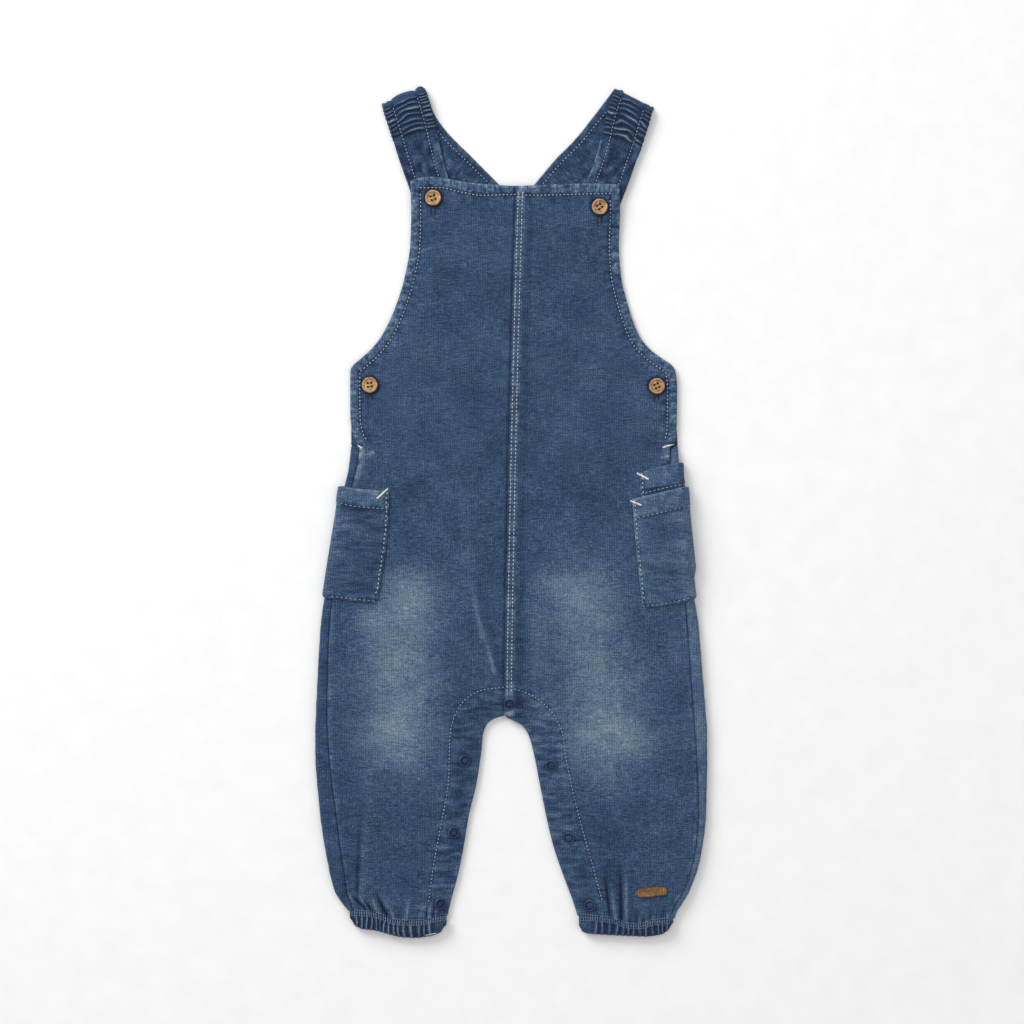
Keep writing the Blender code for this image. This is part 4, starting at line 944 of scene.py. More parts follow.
def pocket_point(shape, depth, step, row):
    """Point and tone of a patch over the front, round the side fold and in under the back."""
    outward = OUTWARD[shape.side]
    mouth_at, foot_at, inner_at = over_x(shape.mouth), over_x(shape.foot), over_y(shape.inner)

    def offset(x, y):
        share = upper_pocket_share(x, y) if shape.beneath else 0.0
        return LAYER + 0.1 + (LAYER + 0.25) * share

    def underside(x, y):
        return UPPER_STEP * pocket_cover(POCKET_RIGHT, x, y) if shape is POCKET_RIGHT_UPPER else 0.0

    up = row / POCKET_ROWS
    washed = POCKET_TONES[shape.side] - (UPPER_DARKER if shape is POCKET_RIGHT_UPPER else 0.0)
    y = 0.0
    for _ in range(3):
        side_x = back_edge[shape.side](y)
        y = foot_at(side_x) + (mouth_at(side_x) - foot_at(side_x)) * up
    edge, radius, base = fold_shape(shape.side, y)
    fold_x = edge - outward * radius + outward * shape.gape * ease((up - 0.72) / 0.28)
    length = mouth_at(side_x) - foot_at(side_x)
    below_mouth, above_foot = (1.0 - up) * length, up * length
    fold_x -= outward * 1.1 * max(0.0, 1.0 - above_foot / 2.6) ** 2
    from_corner = max(0.0, POCKET_CORNER - above_foot)
    rounding = POCKET_CORNER - math.sqrt(POCKET_CORNER ** 2 - from_corner ** 2)
    hem = inside(below_mouth, depth - 0.4, 1.0)
    groove = max(bump(below_mouth - depth, 0.8), bump(above_foot - POCKET_ROW, 0.8))
    if step <= POCKET_FRONT:
        across = step / POCKET_FRONT
        for _ in range(3):
            inner = inner_at(y) + outward * rounding
            x = inner + (fold_x - inner) * across
            y = foot_at(x) + (mouth_at(x) - foot_at(x)) * up
        inward = abs(x - inner)
        rows = max(groove, bump(inward - POCKET_ROW, 0.8))
        waves = ripple(y / 2.9, inward / 6.0, 81.0 + shape.under)
        side_waves = ripple(x / 3.2, y / 7.0, 85.0 + shape.under)
        soft = ripple(y / 8.0, inward / 30.0, 87.0 + shape.under)
        belly = 0.7 * ease(inward / 12.0) * ease(above_foot / 16.0) * ease(below_mouth / 12.0)
        z = front_top(x, y) + offset(x, y) + belly - 0.25 * rows + 0.30 * hem
        drawn = ripple(y / 2.5, x / 13.0, 93.0) * (1.0 - hem) * (1.0 if outward < 0 else 0.5)
        z += 0.26 * waves * bump(inward, 4.0) + 0.22 * side_waves * bump(above_foot, 4.0)
        z += 0.20 * drawn
        z += 0.12 * side_waves * hem + 0.14 * soft * (1.0 - hem)
        z -= cut_edge(inward, 1.0, 0.5) + cut_edge(above_foot, 1.0, 0.5)
        z -= cut_edge(below_mouth, 1.3, 0.55)
        # Tone: painted shade over the pocket's middle, in its rows' grooves and just below its
        # hem's row; its edges and mouth are paler.
        body = (1.0 - hem) * ease(inward / 6.0) * ease(abs(fold_x - x) / 10.0)
        tone = washed - 0.20 * body * ease(above_foot / 9.0) + 0.20 * drawn
        tone += 0.30 * bump(inward, 0.9) + 0.26 * bump(above_foot, 0.9) - 0.40 * rows
        tone += 0.44 * waves * bump(inward, 3.0) + 0.30 * side_waves * (
            bump(above_foot, 3.0) + 0.7 * hem) + 0.30 * bump(below_mouth, 1.2)
        tone += 0.08 * hem + 0.16 * soft - 0.20 * bump(below_mouth - depth - 1.2, 1.4)
        return (x, y, z), tone
    lower = cut_edge(below_mouth, 1.3, 0.4) + cut_edge(above_foot, 1.2, 0.4)
    if step <= POCKET_FRONT + POCKET_BEND:
        angle = math.pi * (step - POCKET_FRONT) / POCKET_BEND
        top = base + 2 * radius + offset(edge, y)
        bottom = underside(edge, y)
        reach = radius + offset(edge, y) + (0.30 * hem - 0.2 * groove - lower) * math.sin(angle)
        z = (top + bottom) / 2 + (top - bottom) / 2 * math.cos(angle)
        z += (0.30 * hem - 0.2 * groove - lower) * max(0.0, math.cos(angle))
        # painted shade in the rows' grooves
        tone = washed + 0.10 * math.sin(angle) - 0.15 * groove
        return (fold_x + outward * reach * math.sin(angle), y, z), tone
    x = fold_x - outward * shape.under * (step - POCKET_FRONT - POCKET_BEND) / POCKET_UNDER
    # painted shade in the rows' grooves
    return (x, y, underside(x, y) + 0.15 * groove + 0.5 * lower), -0.15 * groove


# ---------------------------------------------------------------- materials

def linear(code, alpha=1.0):
    """An sRGB hex colour as linear red, green, blue and alpha."""
    values = [int(code[k:k + 2], 16) / 255 for k in (1, 3, 5)]
    return (*(v / 12.92 if v <= 0.04045 else ((v + 0.055) / 1.055) ** 2.4 for v in values), alpha)


def add_node(tree, kind, settings=None, values=None, links=None):
    """Adds a node, sets its properties and inputs, and links what feeds it."""
    new = tree.nodes.new(kind)
    for name, value in (settings or {}).items():
        setattr(new, name, value)
    for name, value in (values or {}).items():
        new.inputs[name].default_value = value
    for name, source in (links or {}).items():
        tree.links.new(source, new.inputs[name])
    return new


def blank_material(name, roughness, metallic=0.0, sheen=0.0):
    material = bpy.data.materials.new(name)
    material.use_nodes = True
    shader = material.node_tree.nodes["Principled BSDF"]
    shader.inputs["Roughness"].default_value = roughness
    shader.inputs["Metallic"].default_value = metallic
    shader.inputs["Sheen Weight"].default_value = sheen
    return material, material.node_tree, shader


def noise_over(tree, source, scale, detail, **more):
    """Value of a noise texture over the source's coordinates."""
    return add_node(tree, "ShaderNodeTexNoise", None, {"Scale": scale, "Detail": detail, **more},
                    {"Vector": source}).outputs["Fac"]


def give_bump(tree, shader, height, strength, distance):
    bumped = add_node(tree, "ShaderNodeBump", None, {"Strength": strength, "Distance": distance},
                      {"Height": height})
    tree.links.new(bumped.outputs[0], shader.inputs["Normal"])


def give_colours(tree, shader, source, stops):
    tree.links.new(ramp(tree, source, stops), shader.inputs["Base Color"])


def weighted(tree, terms, start):
    """Sum of sources times weights, each taken about one half, and a start value."""
    total = start - sum(weight for _, weight in terms) / 2
    for source, weight in terms:
        values = {1: weight}
        links = {0: source}
        if isinstance(total, float):
            values[2] = total
        else:
            links[2] = total
        total = add_node(tree, "ShaderNodeMath", {"operation": "MULTIPLY_ADD"}, values,
                         links).outputs[0]
    return total


def toned(tree, source, weight):
    """A source with the tone added that the piece's points carry: wear, fades, painted shade and
    painted highlight.
    """
    attribute = add_node(tree, "ShaderNodeAttribute", {"attribute_name": "tone"})
    return add_node(tree, "ShaderNodeMath", {"operation": "MULTIPLY_ADD"}, {1: weight},
                    {0: attribute.outputs["Fac"], 2: source}).outputs[0]


def ramp(tree, source, stops):
    """Colours by the source's value, from a row of (place, hex or linear colour)."""
    new = add_node(tree, "ShaderNodeValToRGB", None, None, {"Fac": source})
    elements = new.color_ramp.elements
    while len(elements) < len(stops):
        elements.new(1.0)
    for element, (place, code) in zip(elements, stops):
        element.position = place
        element.color = linear(code) if isinstance(code, str) else (*code, 1.0)
    return new.outputs["Color"]


# Indigo from unworn to worn through, in its greener and its redder vats; None is the user's colour
INDIGO = ((0.0, "#0f1a2f"), (0.25, "#1f344d"), (0.45, None), (0.62, "#4f6679"),
          (0.84, "#71838f"), (1.0, "#8f9ca1"))
RED_INDIGO = ((0.0, "#111b36"), (0.25, "#213352"), (0.45, "#344a6d"), (0.62, "#4e6380"),
              (0.84, "#6f8193"), (1.0, "#8e9ba6"))


MIX_A, MIX_B, MIX_COLOUR = 6, 7, 2       # the Mix node's colour sockets


def jersey_denim(name, indigo, start, turn=0.0, cloth_size=None, streaked=0.18):
    """Indigo-dyed denim-look cotton jersey, enzyme-washed and sanded.

    It is matt, with a soft nap, short slubs across and fine beaded wales down; its pale ridges,
    from the tone that the points carry, are partly worn and partly painted highlight. The wales are
    1.5 mm apart, the slubs about 0.7 mm thick and 5.5 mm long, the dark flecks 0.7 by 9 mm and the
    mottle 0.9 mm. cloth_size is given where the pattern follows the piece's own map, and streaked
    is the weight of the washed streaks along the wales."""
    material, tree, shader = blank_material(name, 0.9, sheen=0.18)
    shader.inputs["Sheen Roughness"].default_value = 0.55
    shader.inputs["Sheen Tint"].default_value = linear("#a9b6c9")
    shader.inputs["Specular IOR Level"].default_value = 0.25
    place = add_node(tree, "ShaderNodeTexCoord")
    if cloth_size:
        scale = (cloth_size[0], cloth_size[1], 1.0)
        grain = add_node(tree, "ShaderNodeMapping", None, {"Scale": scale},
                         {"Vector": place.outputs["UV"]}).outputs[0]
    else:
        grain = add_node(tree, "ShaderNodeMapping", None, {"Rotation": (0.0, 0.0, turn)},
                         {"Vector": place.outputs["Object"]}).outputs[0]

    def grained(scale, detail, roughness):
        """Noise whose cells have the given size across, along and up, in millimetres."""
        sized = add_node(tree, "ShaderNodeMapping", None,
                         {"Scale": tuple(1.0 / (size * MM) for size in scale)}, {"Vector": grain})
        return noise_over(tree, sized.outputs[0], 1.0, detail, Roughness=roughness)

    slubs = grained((5.5, 0.7, 5.5), 2.0, 0.6)
    mottle = grained((0.9, 0.8, 0.9), 2.0, 0.7)
    clouds = grained((24.0, 17.0, 24.0), 3.0, 0.6)
    streaks = grained((1.0, 11.0, 10.0), 2.0, 0.6)
    vat = grained((13.0, 10.0, 13.0), 3.0, 0.6)
    flecks = add_node(tree, "ShaderNodeMapRange", {"interpolation_type": "SMOOTHSTEP"},
                      {"From Min": 0.55, "From Max": 0.75},
                      {"Value": grained((9.0, 0.7, 9.0), 2.0, 0.6)}).outputs[0]
    wales = add_node(tree, "ShaderNodeTexWave", {"wave_type": "BANDS", "bands_direction": "X"},
                     {"Scale": 0.314159 / (1.5 * MM), "Distortion": 2.4, "Detail": 2.0,
                      "Detail Scale": 0.6}, {"Vector": grain}).outputs["Fac"]
    value = weighted(tree, ((slubs, 0.56), (mottle, 0.92), (clouds, 0.34), (streaks, streaked),
                            (wales, 0.10), (flecks, -0.16)), start - 0.07)
    value = toned(tree, value, 0.5)
    dyed = add_node(tree, "ShaderNodeMix", {"data_type": "RGBA"}, None,
                    {0: weighted(tree, ((vat, 2.6),), 0.5),
                     MIX_A: ramp(tree, value, [(at, code or indigo) for at, code in INDIGO]),
                     MIX_B: ramp(tree, value, RED_INDIGO)})
    tree.links.new(dyed.outputs[MIX_COLOUR], shader.inputs["Base Color"])
    relief = weighted(tree, ((wales, 0.4), (mottle, 0.9), (slubs, 0.5)), 0.5)
    give_bump(tree, shader, relief, 0.55, 0.22 * MM)
    return material


def cotton_thread(name, pale, dark):
    """Spun cotton sewing thread: matt, with a twist that shows as fine light and dark."""
    material, tree, shader = blank_material(name, 0.75, sheen=0.1)
    place = add_node(tree, "ShaderNodeTexCoord").outputs["Object"]
    twist = noise_over(tree, place, 900.0, 2.0)
    wear = noise_over(tree, place, 120.0, 1.0)
    value = weighted(tree, ((twist, 0.9), (wear, 0.8)), 0.5)
    give_colours(tree, shader, value, ((0.15, dark), (0.85, pale)))
    give_bump(tree, shader, twist, 0.4, 0.1 * MM)
    return material


def turned_wood(name, colour, centre, turn):
    """Turned and oiled olive or beech wood: warm tan with darker grain, a soft satin gloss."""
    material, tree, shader = blank_material(name, 0.48)
    place = add_node(tree, "ShaderNodeTexCoord").outputs["Object"]
    at = add_node(tree, "ShaderNodeMapping", None, {"Location": (-centre.x, -centre.y, 0.0)},
                  {"Vector": place}).outputs[0]
    turned = add_node(tree, "ShaderNodeMapping", None,
                      {"Rotation": (0.0, 0.0, turn), "Scale": (260.0, 1300.0, 700.0)},
                      {"Vector": at}).outputs[0]
    grain = noise_over(tree, turned, 1.0, 3.0, Roughness=0.6, Distortion=0.6)
    broad = noise_over(tree, at, 330.0, 1.0)
    value = toned(tree, weighted(tree, ((grain, 1.3), (broad, 0.7)), 0.55), 0.8)
    give_colours(tree, shader, value, ((0.0, "#2a1507"), (0.22, "#65411f"), (0.5, colour),
                                       (0.8, "#c49f73"), (1.0, "#dabd97")))
    give_bump(tree, shader, grain, 0.3, 0.08 * MM)
    return material


def lacquered_brass(name):
    """Brass ring snaps with navy baked lacquer, mottled; the points' tone paints a highlight along
    the ring's crown.
    """
    material, tree, shader = blank_material(name, 0.45, metallic=0.2)
    place = add_node(tree, "ShaderNodeTexCoord").outputs["Object"]
    rubbed = noise_over(tree, place, 900.0, 3.0)
    value = toned(tree, weighted(tree, ((rubbed, 0.5),), 0.35), 0.5)
    give_colours(tree, shader, value, ((0.0, "#18233a"), (0.5, "#33486b"), (1.0, "#7688a3")))
    return material


def vegetable_leather(name, colour):
    """Vegetable-tanned leather: tan, matt, with fine pores, and darker along its edges."""
    material, tree, shader = blank_material(name, 0.62)
    place = add_node(tree, "ShaderNodeTexCoord").outputs["Object"]
    pores = add_node(tree, "ShaderNodeTexVoronoi", {"feature": "DISTANCE_TO_EDGE"},
                     {"Scale": 1600.0}, {"Vector": place}).outputs["Distance"]
    stain = noise_over(tree, place, 300.0, 4.0)
    value = toned(tree, weighted(tree, ((pores, 0.4), (stain, 1.5)), 0.62), 0.7)
    give_colours(tree, shader, value, ((0.0, "#33200e"), (0.4, "#704c22"), (0.75, colour),
                                       (1.0, "#b68d58")))
    give_bump(tree, shader, pores, 0.4, 0.1 * MM)
    return material


def paper_floor(name, colour):
    """Seamless white studio paper: matt and nearly even."""
    material, tree, shader = blank_material(name, 0.95)
    place = add_node(tree, "ShaderNodeTexCoord").outputs["Object"]
    fibre = noise_over(tree, place, 60.0, 4.0)
    give_colours(tree, shader, fibre, ((0.3, "#f5f5f5"), (0.7, colour)))
    shader.inputs["Specular IOR Level"].default_value = 0.1
    return material


# ---------------------------------------------------------------- making the pieces

def metres(point):
    return (Vector(point) + DRAWING_SHIFT) * MM


def keep(name, bm, material, replaced=()):
    """Makes the piece's object, lets it ride and gives it its finish."""
    mesh = bpy.data.meshes.new(name)
    bm.to_mesh(mesh)
    bm.free()
    mesh.shade_smooth()
    mesh.materials.append(material)
    piece = bpy.data.objects.new(name, mesh)
    bpy.context.scene.collection.objects.link(piece)
    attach(piece, "root")
    if replaced:
        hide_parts(*replaced)
    return piece


def cloth_piece(name, size, point, wall, material, node, turned_over):
    """An open sheet on its outer face, with the wall behind it."""
    bm = bmesh.new()
    bm.loops.layers.uv.new("Cloth")
    tone = bm.verts.layers.float.new("tone")
    bmesh.ops.create_grid(bm, x_segments=size[0], y_segments=size[1], size=0.5, calc_uvs=True)
    for vert in bm.verts:
        # worn is the point's tone: wear and fades, and painted shade and highlight
        place, worn = point(round((vert.co.x + 0.5) * size[0]), round((vert.co.y + 0.5) * size[1]))
        vert.co = metres(place)
        vert[tone] = worn
    if turned_over:
        bmesh.ops.reverse_faces(bm, faces=bm.faces)
    piece = keep(name, bm, material, (node,))
    shell = piece.modifiers.new("Wall", "SOLIDIFY")
    shell.thickness = wall * MM
    shell.offset = -1.0
    shell.use_even_offset = False
    return piece


@lru_cache(None)
def surface(name):
    """Search tree of a finished piece, both its faces."""
    depsgraph = bpy.context.evaluated_depsgraph_get()
    return BVHTree.FromObject(bpy.data.objects[name], depsgraph)


def laid_on(names, x, y, below=False):
    """Point and normal, in metres, where a needle from above or below meets the first piece."""
    top = -1.0 if below else 1.0
    start = metres((x, y, 60.0 * top))
    best = None
    for name in names:
        hit, normal, _, distance = surface(name).ray_cast(start, Vector((0.0, 0.0, -top)))
        if hit is not None and (best is None or distance < best[2]):
            best = (hit, normal if normal.z * top > 0 else -normal, distance)
    return best and best[:2]


def stitch_at(made, hit, normal, run, length, width):
    """Place of one stitch, its size in millimetres: a slim drop of thread that dips into the cloth
    at both ends."""
    length, width = length * MM, width * MM
    forward = (run - normal * run.dot(normal)).normalized()
    aside = normal.cross(forward)
    height = width * 0.8
    turn = Matrix((forward * length, aside * width, normal * height)).transposed().to_4x4()
    made.append(Matrix.Translation(hit + normal * height * 0.12) @ turn)


def keep_stitches(name, made, material):
    """Joins stitches at their places in one mesh."""
    drop = bpy.data.meshes.new("drop")
    bm = bmesh.new()
    bmesh.ops.create_uvsphere(bm, u_segments=6, v_segments=4, radius=0.5)
    bm.to_mesh(drop)
    bm.free()
    bm = bmesh.new()
    for place in made:
        one = drop.copy()
        one.transform(place)
        bm.from_mesh(one)
        bpy.data.meshes.remove(one)
    bpy.data.meshes.remove(drop)
    return keep(name, bm, material)


def sew(made, line, names, pitch, length, width, below=False, highest=60.0):
    """A row of stitches along a line of the drawing, left out on cloth higher than the highest."""
    spots = resampled([tuple(p[:2]) for p in line], pitch)
    for k, (x, y, _) in enumerate(spots):
        found = laid_on(names, x, y, below)
        if found is None or found[0].z > highest * MM:
            continue
        after, before = spots[min(k + 1, len(spots) - 1)], spots[max(k - 1, 0)]
        run = Vector((after[0] - before[0], after[1] - before[1], 0.0)).normalized()
        stitch_at(made, *found, run, length, width)


def spun(profile, segments):
    """A round mesh about Z from a half profile in millimetres, and its layer for the tone."""
    bm = bmesh.new()
    verts = [bm.verts.new((radius * MM, 0.0, height * MM)) for radius, height in profile]
    edges = [bm.edges.new(pair) for pair in zip(verts, verts[1:])]
    bmesh.ops.spin(bm, geom=verts + edges, cent=(0, 0, 0), axis=(0, 0, 1), angle=math.tau,
                   steps=segments, use_merge=True, use_duplicate=False)
    bmesh.ops.remove_doubles(bm, verts=bm.verts, dist=0.000001)
    bmesh.ops.recalc_face_normals(bm, faces=bm.faces)
    return bm, bm.verts.layers.float.new("tone")


def seated(bm, hit, normal, clearance, turn):
    """Moves a mesh from the origin to its place on the cloth."""
    tilt = Vector((0.0, 0.0, 1.0)).rotation_difference(normal).to_matrix().to_4x4()
    spin = Matrix.Rotation(turn, 4, "Z")
    move = Matrix.Translation(hit + normal * clearance * MM)
    bmesh.ops.transform(bm, matrix=move @ tilt @ spin, verts=bm.verts)


FRONTS = ("cloth_front_left", "cloth_front_right")
BACKS = ("cloth_back_left", "cloth_back_right")
NOMINAL_LOW, NOMINAL_HIGH = -262.0, 214.0
BACK_HIGH = 172.0


def washed_denim(settings, place, **more):
    return jersey_denim("Washed denim jersey, " + place, settings.indigo, WASH[place], **more)


def make_fronts(settings):
    columns = round(FRONT_WIDE * MM / settings.cell)
    rows = round((NOMINAL_HIGH - NOMINAL_LOW) * MM / settings.cell)
    denim = washed_denim(settings, "front")
    for side in SIDES:
        def point(step, row, side=side):
            nominal = NOMINAL_LOW + (NOMINAL_HIGH - NOMINAL_LOW) * row / rows
            return front_point(side, step / columns, nominal)
        piece = cloth_piece("cloth_front_" + side, (columns, rows), point, CLOTH - 0.1, denim,
                            "front_" + side, side == "left")


def make_backs(settings):
    rows = round((BACK_HIGH - NOMINAL_LOW) * MM / (settings.cell * BACK_COARSER))
    denim = washed_denim(settings, "back")
    for side in SIDES:
        def point(step, row, side=side):
            nominal = NOMINAL_LOW + (BACK_HIGH - NOMINAL_LOW) * row / rows
            return back_point(side, step, nominal)
        piece = cloth_piece("cloth_back_" + side, (BACK_FLAT + BACK_BEND + BACK_STRIP, rows),
                            point, CLOTH - 0.1, denim, "back_" + side,
                            side == "right")


def make_cuffs(settings):
    denim = washed_denim(settings, "cuffs")
    for side in SIDES:
        def point(step, row, side=side):
            return cuff_point(side, step, row)
        size = (CUFF_FRONT + CUFF_BEND + CUFF_UNDER, CUFF_ROWS)
        piece = cloth_piece("cloth_cuff_" + side, size, point, CUFF_WALL * 0.6, denim,
                            "cuff_" + side, side == "right")


def make_straps(settings):
    rows = BACK_STEPS + BEND_STEPS + GATHER_STEPS + PLAIN_STEPS
    for side, rise, seed in (("left", left_strap_rise, 31.0), ("right", right_strap_rise, 47.0)):
        back, front = STRAPS[side]
        denim = washed_denim(settings, "strap " + side, cloth_size=(0.026, 0.245), streaked=0.36)

        def point(step, row, side=side, back=back, front=front, rise=rise, seed=seed):
            return strap_point(back, front, rise, STRAP_LOBES[side], step, row, seed)
        piece = cloth_piece("cloth_strap_" + side, (STRAP_ACROSS, rows), point, STRAP_WALL - 0.1,
                            denim, "strap_" + side, side == "left")


def make_pockets(settings):
    denim = washed_denim(settings, "pockets", turn=math.radians(4.0))
    for name, shape in POCKETS.items():
        def point(step, row, shape=shape, depth=HEM_DEPTHS[name]):
            return pocket_point(shape, depth, step, row)
        size = (POCKET_FRONT + POCKET_BEND + POCKET_UNDER, POCKET_ROWS)
        piece = cloth_piece("cloth_pocket_" + name, size, point, CLOTH - 0.1, denim,
                            "pocket_" + name, shape.side == "left")


def between(low, high, count):
    """Values an even step apart from low to high, one more than the count."""
    return [low + (high - low) * k / count for k in range(count + 1)]


def strap_line(table, share, low, high):
    """A sewn line along the front or the back part of a strap."""
    lines = strap_lines(table)
    return [tuple(lines["outer_" + axis](at) * (1 - share) + lines["inner_" + axis](at) * share
                  for axis in "xy") for at in between(low, high, 24)]


def sewn_rows(name, lines, names, sizes, thread, below=False):
    """Rows of one kind of stitch, its sizes being pitch, length and width."""
    made = []
    for line in lines:
        sew(made, line, names, *sizes, below)
    keep_stitches(name, made, thread)


def sew_straps(pitch, thread):
    """Two rows down each strap. Its back part's rows are sewn from below, and one shows at the
    shoulder, where the back part lies open beside the front part."""
    made = []
    for side, (back, front) in STRAPS.items():
        strap = ("cloth_strap_" + side,)
        for share in STRAP_SEAMS:
            sew(made, strap_line(front, share, 0.4, len(front) - 1.2), strap, pitch * 0.92, 1.35,
                0.58)
        for share in BACK_STRAP_SEAMS:
            sew(made, strap_line(back, share, 0.1, len(back) - 1.35), strap, pitch, 1.5, 0.66,
                below=True)
        shown = [spot for spot in strap_line(back, BACK_STRAP_SEAMS[1], 0.1, len(back) - 1.4)
                 if spot[1] > 206.0]
        sew(made, shown, strap, pitch, 1.4, 0.66, highest=STRAP_LOW)
    keep_stitches("stitches_straps", made, thread)


def sew_cuffs(pitch, thread):
    """A row on each side of the join of leg and cuff, and the cover stitch's rungs over it."""
    made = []
    cuffs = ("cloth_cuff_left", "cloth_cuff_right")
    for low, high in ((-102.5, -43.0), (43.8, 102.0)):
        for down, names in ((-0.9, FRONTS), (2.5, cuffs)):
            line = [(x, cuff_top(x) - down) for x in between(low, high, 20)]
            sew(made, line, names, pitch * 0.64, 0.9, 0.5)
            sew(made, line, BACKS if down < 0 else cuffs, pitch * 0.64, 0.9, 0.5, below=True)
        for k, x in enumerate(between(low, high, round((high - low) / (pitch * 0.62)))):
            found = laid_on(cuffs, x, cuff_top(x) - 1.4)
            if found is not None:
                lean = Vector((0.12 if k % 2 else -0.12, -1.0, 0.0))
                place = found[0] + Vector((0.0, 0.6, 0.25)) * MM
                stitch_at(made, place, found[1], lean, 2.9, 0.30)
    keep_stitches("stitches_cuffs", made, thread)


def sew_pockets(pitch, bold, faint):
    """An uneven row down each pocket's inner edge, and faint ones along its hem and its foot."""
    made, dim = [], []
    for name, shape in POCKETS.items():
        pocket = ("cloth_pocket_" + name,)
        outward = OUTWARD[shape.side]
        inner, mouth, foot = over_y(shape.inner), over_x(shape.mouth), over_x(shape.foot)
        low = foot(inner(-60.0)) + POCKET_ROW
        high = mouth(inner(10.0)) - 1.5
        line = [(inner(y) + outward * (POCKET_ROW + 0.35 * (k % 2)), y)
                for k, y in enumerate(between(low, high, 12))]
        sew(made, line[1:], pocket, pitch * 1.18, 1.7, 1.0)
        edge = back_edge[shape.side](-20.0)
        start = inner(high) + outward * POCKET_ROW
        for level, up, length in ((mouth, -HEM_DEPTHS[name], 2.0), (foot, POCKET_ROW, 1.7)):
            line = [(x, level(x) + up) for x in between(start, edge, 10)]
            sew(dim, line, pocket, pitch * 1.15, length, 0.58)
            under = [(edge - outward * shape.under * k / 6, level(edge) + up) for k in range(7)]
            sew(dim, under, pocket, pitch * 1.15, length, 0.58, below=True)
    keep_stitches("stitches_pocket_edges", made, bold)
    keep_stitches("stitches_pocket_hems", dim, faint)


def make_stitches(settings):
    pale = cotton_thread("Cotton thread, blue-grey", settings.thread, "#74859b")
    ecru = cotton_thread("Cotton thread, ecru", "#cdcfc8", "#8b959c")
    faint = cotton_thread("Cotton thread, worn into the cloth", "#a3b3c4", "#5d7190")
    pitch = settings.pitch / MM
    sewn_rows("stitches_bib", (LEFT_HEM, BIB_TOP_ROW, RIGHT_HEM), FRONTS, (pitch, 1.6, 0.72),
              pale)
    centre = [[(centre_x(y) + off, y) for y in range(-114, 207, 6)]
              for off in (-CENTRE_ROW, CENTRE_ROW)]
    sewn_rows("stitches_centre_seam", centre, FRONTS, (pitch, 1.7, 0.8), ecru)
    sewn_rows("stitches_inseam_facing", (FACING_LEFT, FACING_RIGHT), FRONTS,
              (pitch * 0.96, 1.5, 0.56), pale)
    sew_straps(pitch, pale)
    sew_cuffs(pitch, faint)
    sew_pockets(pitch, pale, faint)
    behind = [[(centre_x(y) + off, y) for y in range(-122, 140, 6)] for off in (-1.5, 1.5)]
    behind += [[(back_edge[side](y) - OUTWARD[side] * 5.0, y - 1.0) for y in range(52, 170, 4)]
               for side in SIDES]
    sewn_rows("stitches_back", behind, BACKS, (pitch, 1.6, 0.7), pale, below=True)


def make_bartacks(settings):
    """Dense short stitches across a line, where a seam is pulled on."""
    ecru = cotton_thread("Cotton thread, ecru bartack", "#faf8f0", "#dcd8ca")
    tops = FRONTS + BACKS + ("cloth_pocket_left", "cloth_pocket_right_upper",
                             "cloth_pocket_right", "cloth_cuff_left")
    made = []
    for tack in BARTACKS:
        run = Vector((tack.bx - tack.ax, tack.by - tack.ay, 0.0))
        count = round(run.length / 0.5)
        run.normalize()
        across = Vector((-run.y, run.x, 0.0))
        spots = zip(between(tack.ax, tack.bx, count), between(tack.ay, tack.by, count))
        for k, (x, y) in enumerate(spots):
            found = laid_on(tops, x, y)
            if found is not None:
                lean = across + run * (0.35 if k % 2 else -0.35)
                stitch_at(made, found[0] + found[1] * 0.25 * MM, found[1], lean, tack.wide,
                          min(0.6, 0.5 * tack.wide))
    keep_stitches("bartacks", made, ecru)


def make_buttonholes(settings):
    """Worked slits of navy thread under the bib's and the side's buttons."""
    navy = cotton_thread("Cotton thread, navy", "#1c2740", "#0b101c")
    made = []
    for name, spot, _ in BUTTONS:
        top, foot, half = spot.y + 2.0, spot.y - (8.8 if "side" in name else 10.6), 1.35
        count = round((top - foot) / 0.5)
        for side in (-1.0, 1.0):
            for y in between(top, foot, count):
                stitch_at(made, *laid_on(FRONTS, spot.x + side * half, y),
                          Vector((1.0, 0.12 * side, 0.0)), 1.7, 0.6)
    keep_stitches("buttonholes", made, navy)


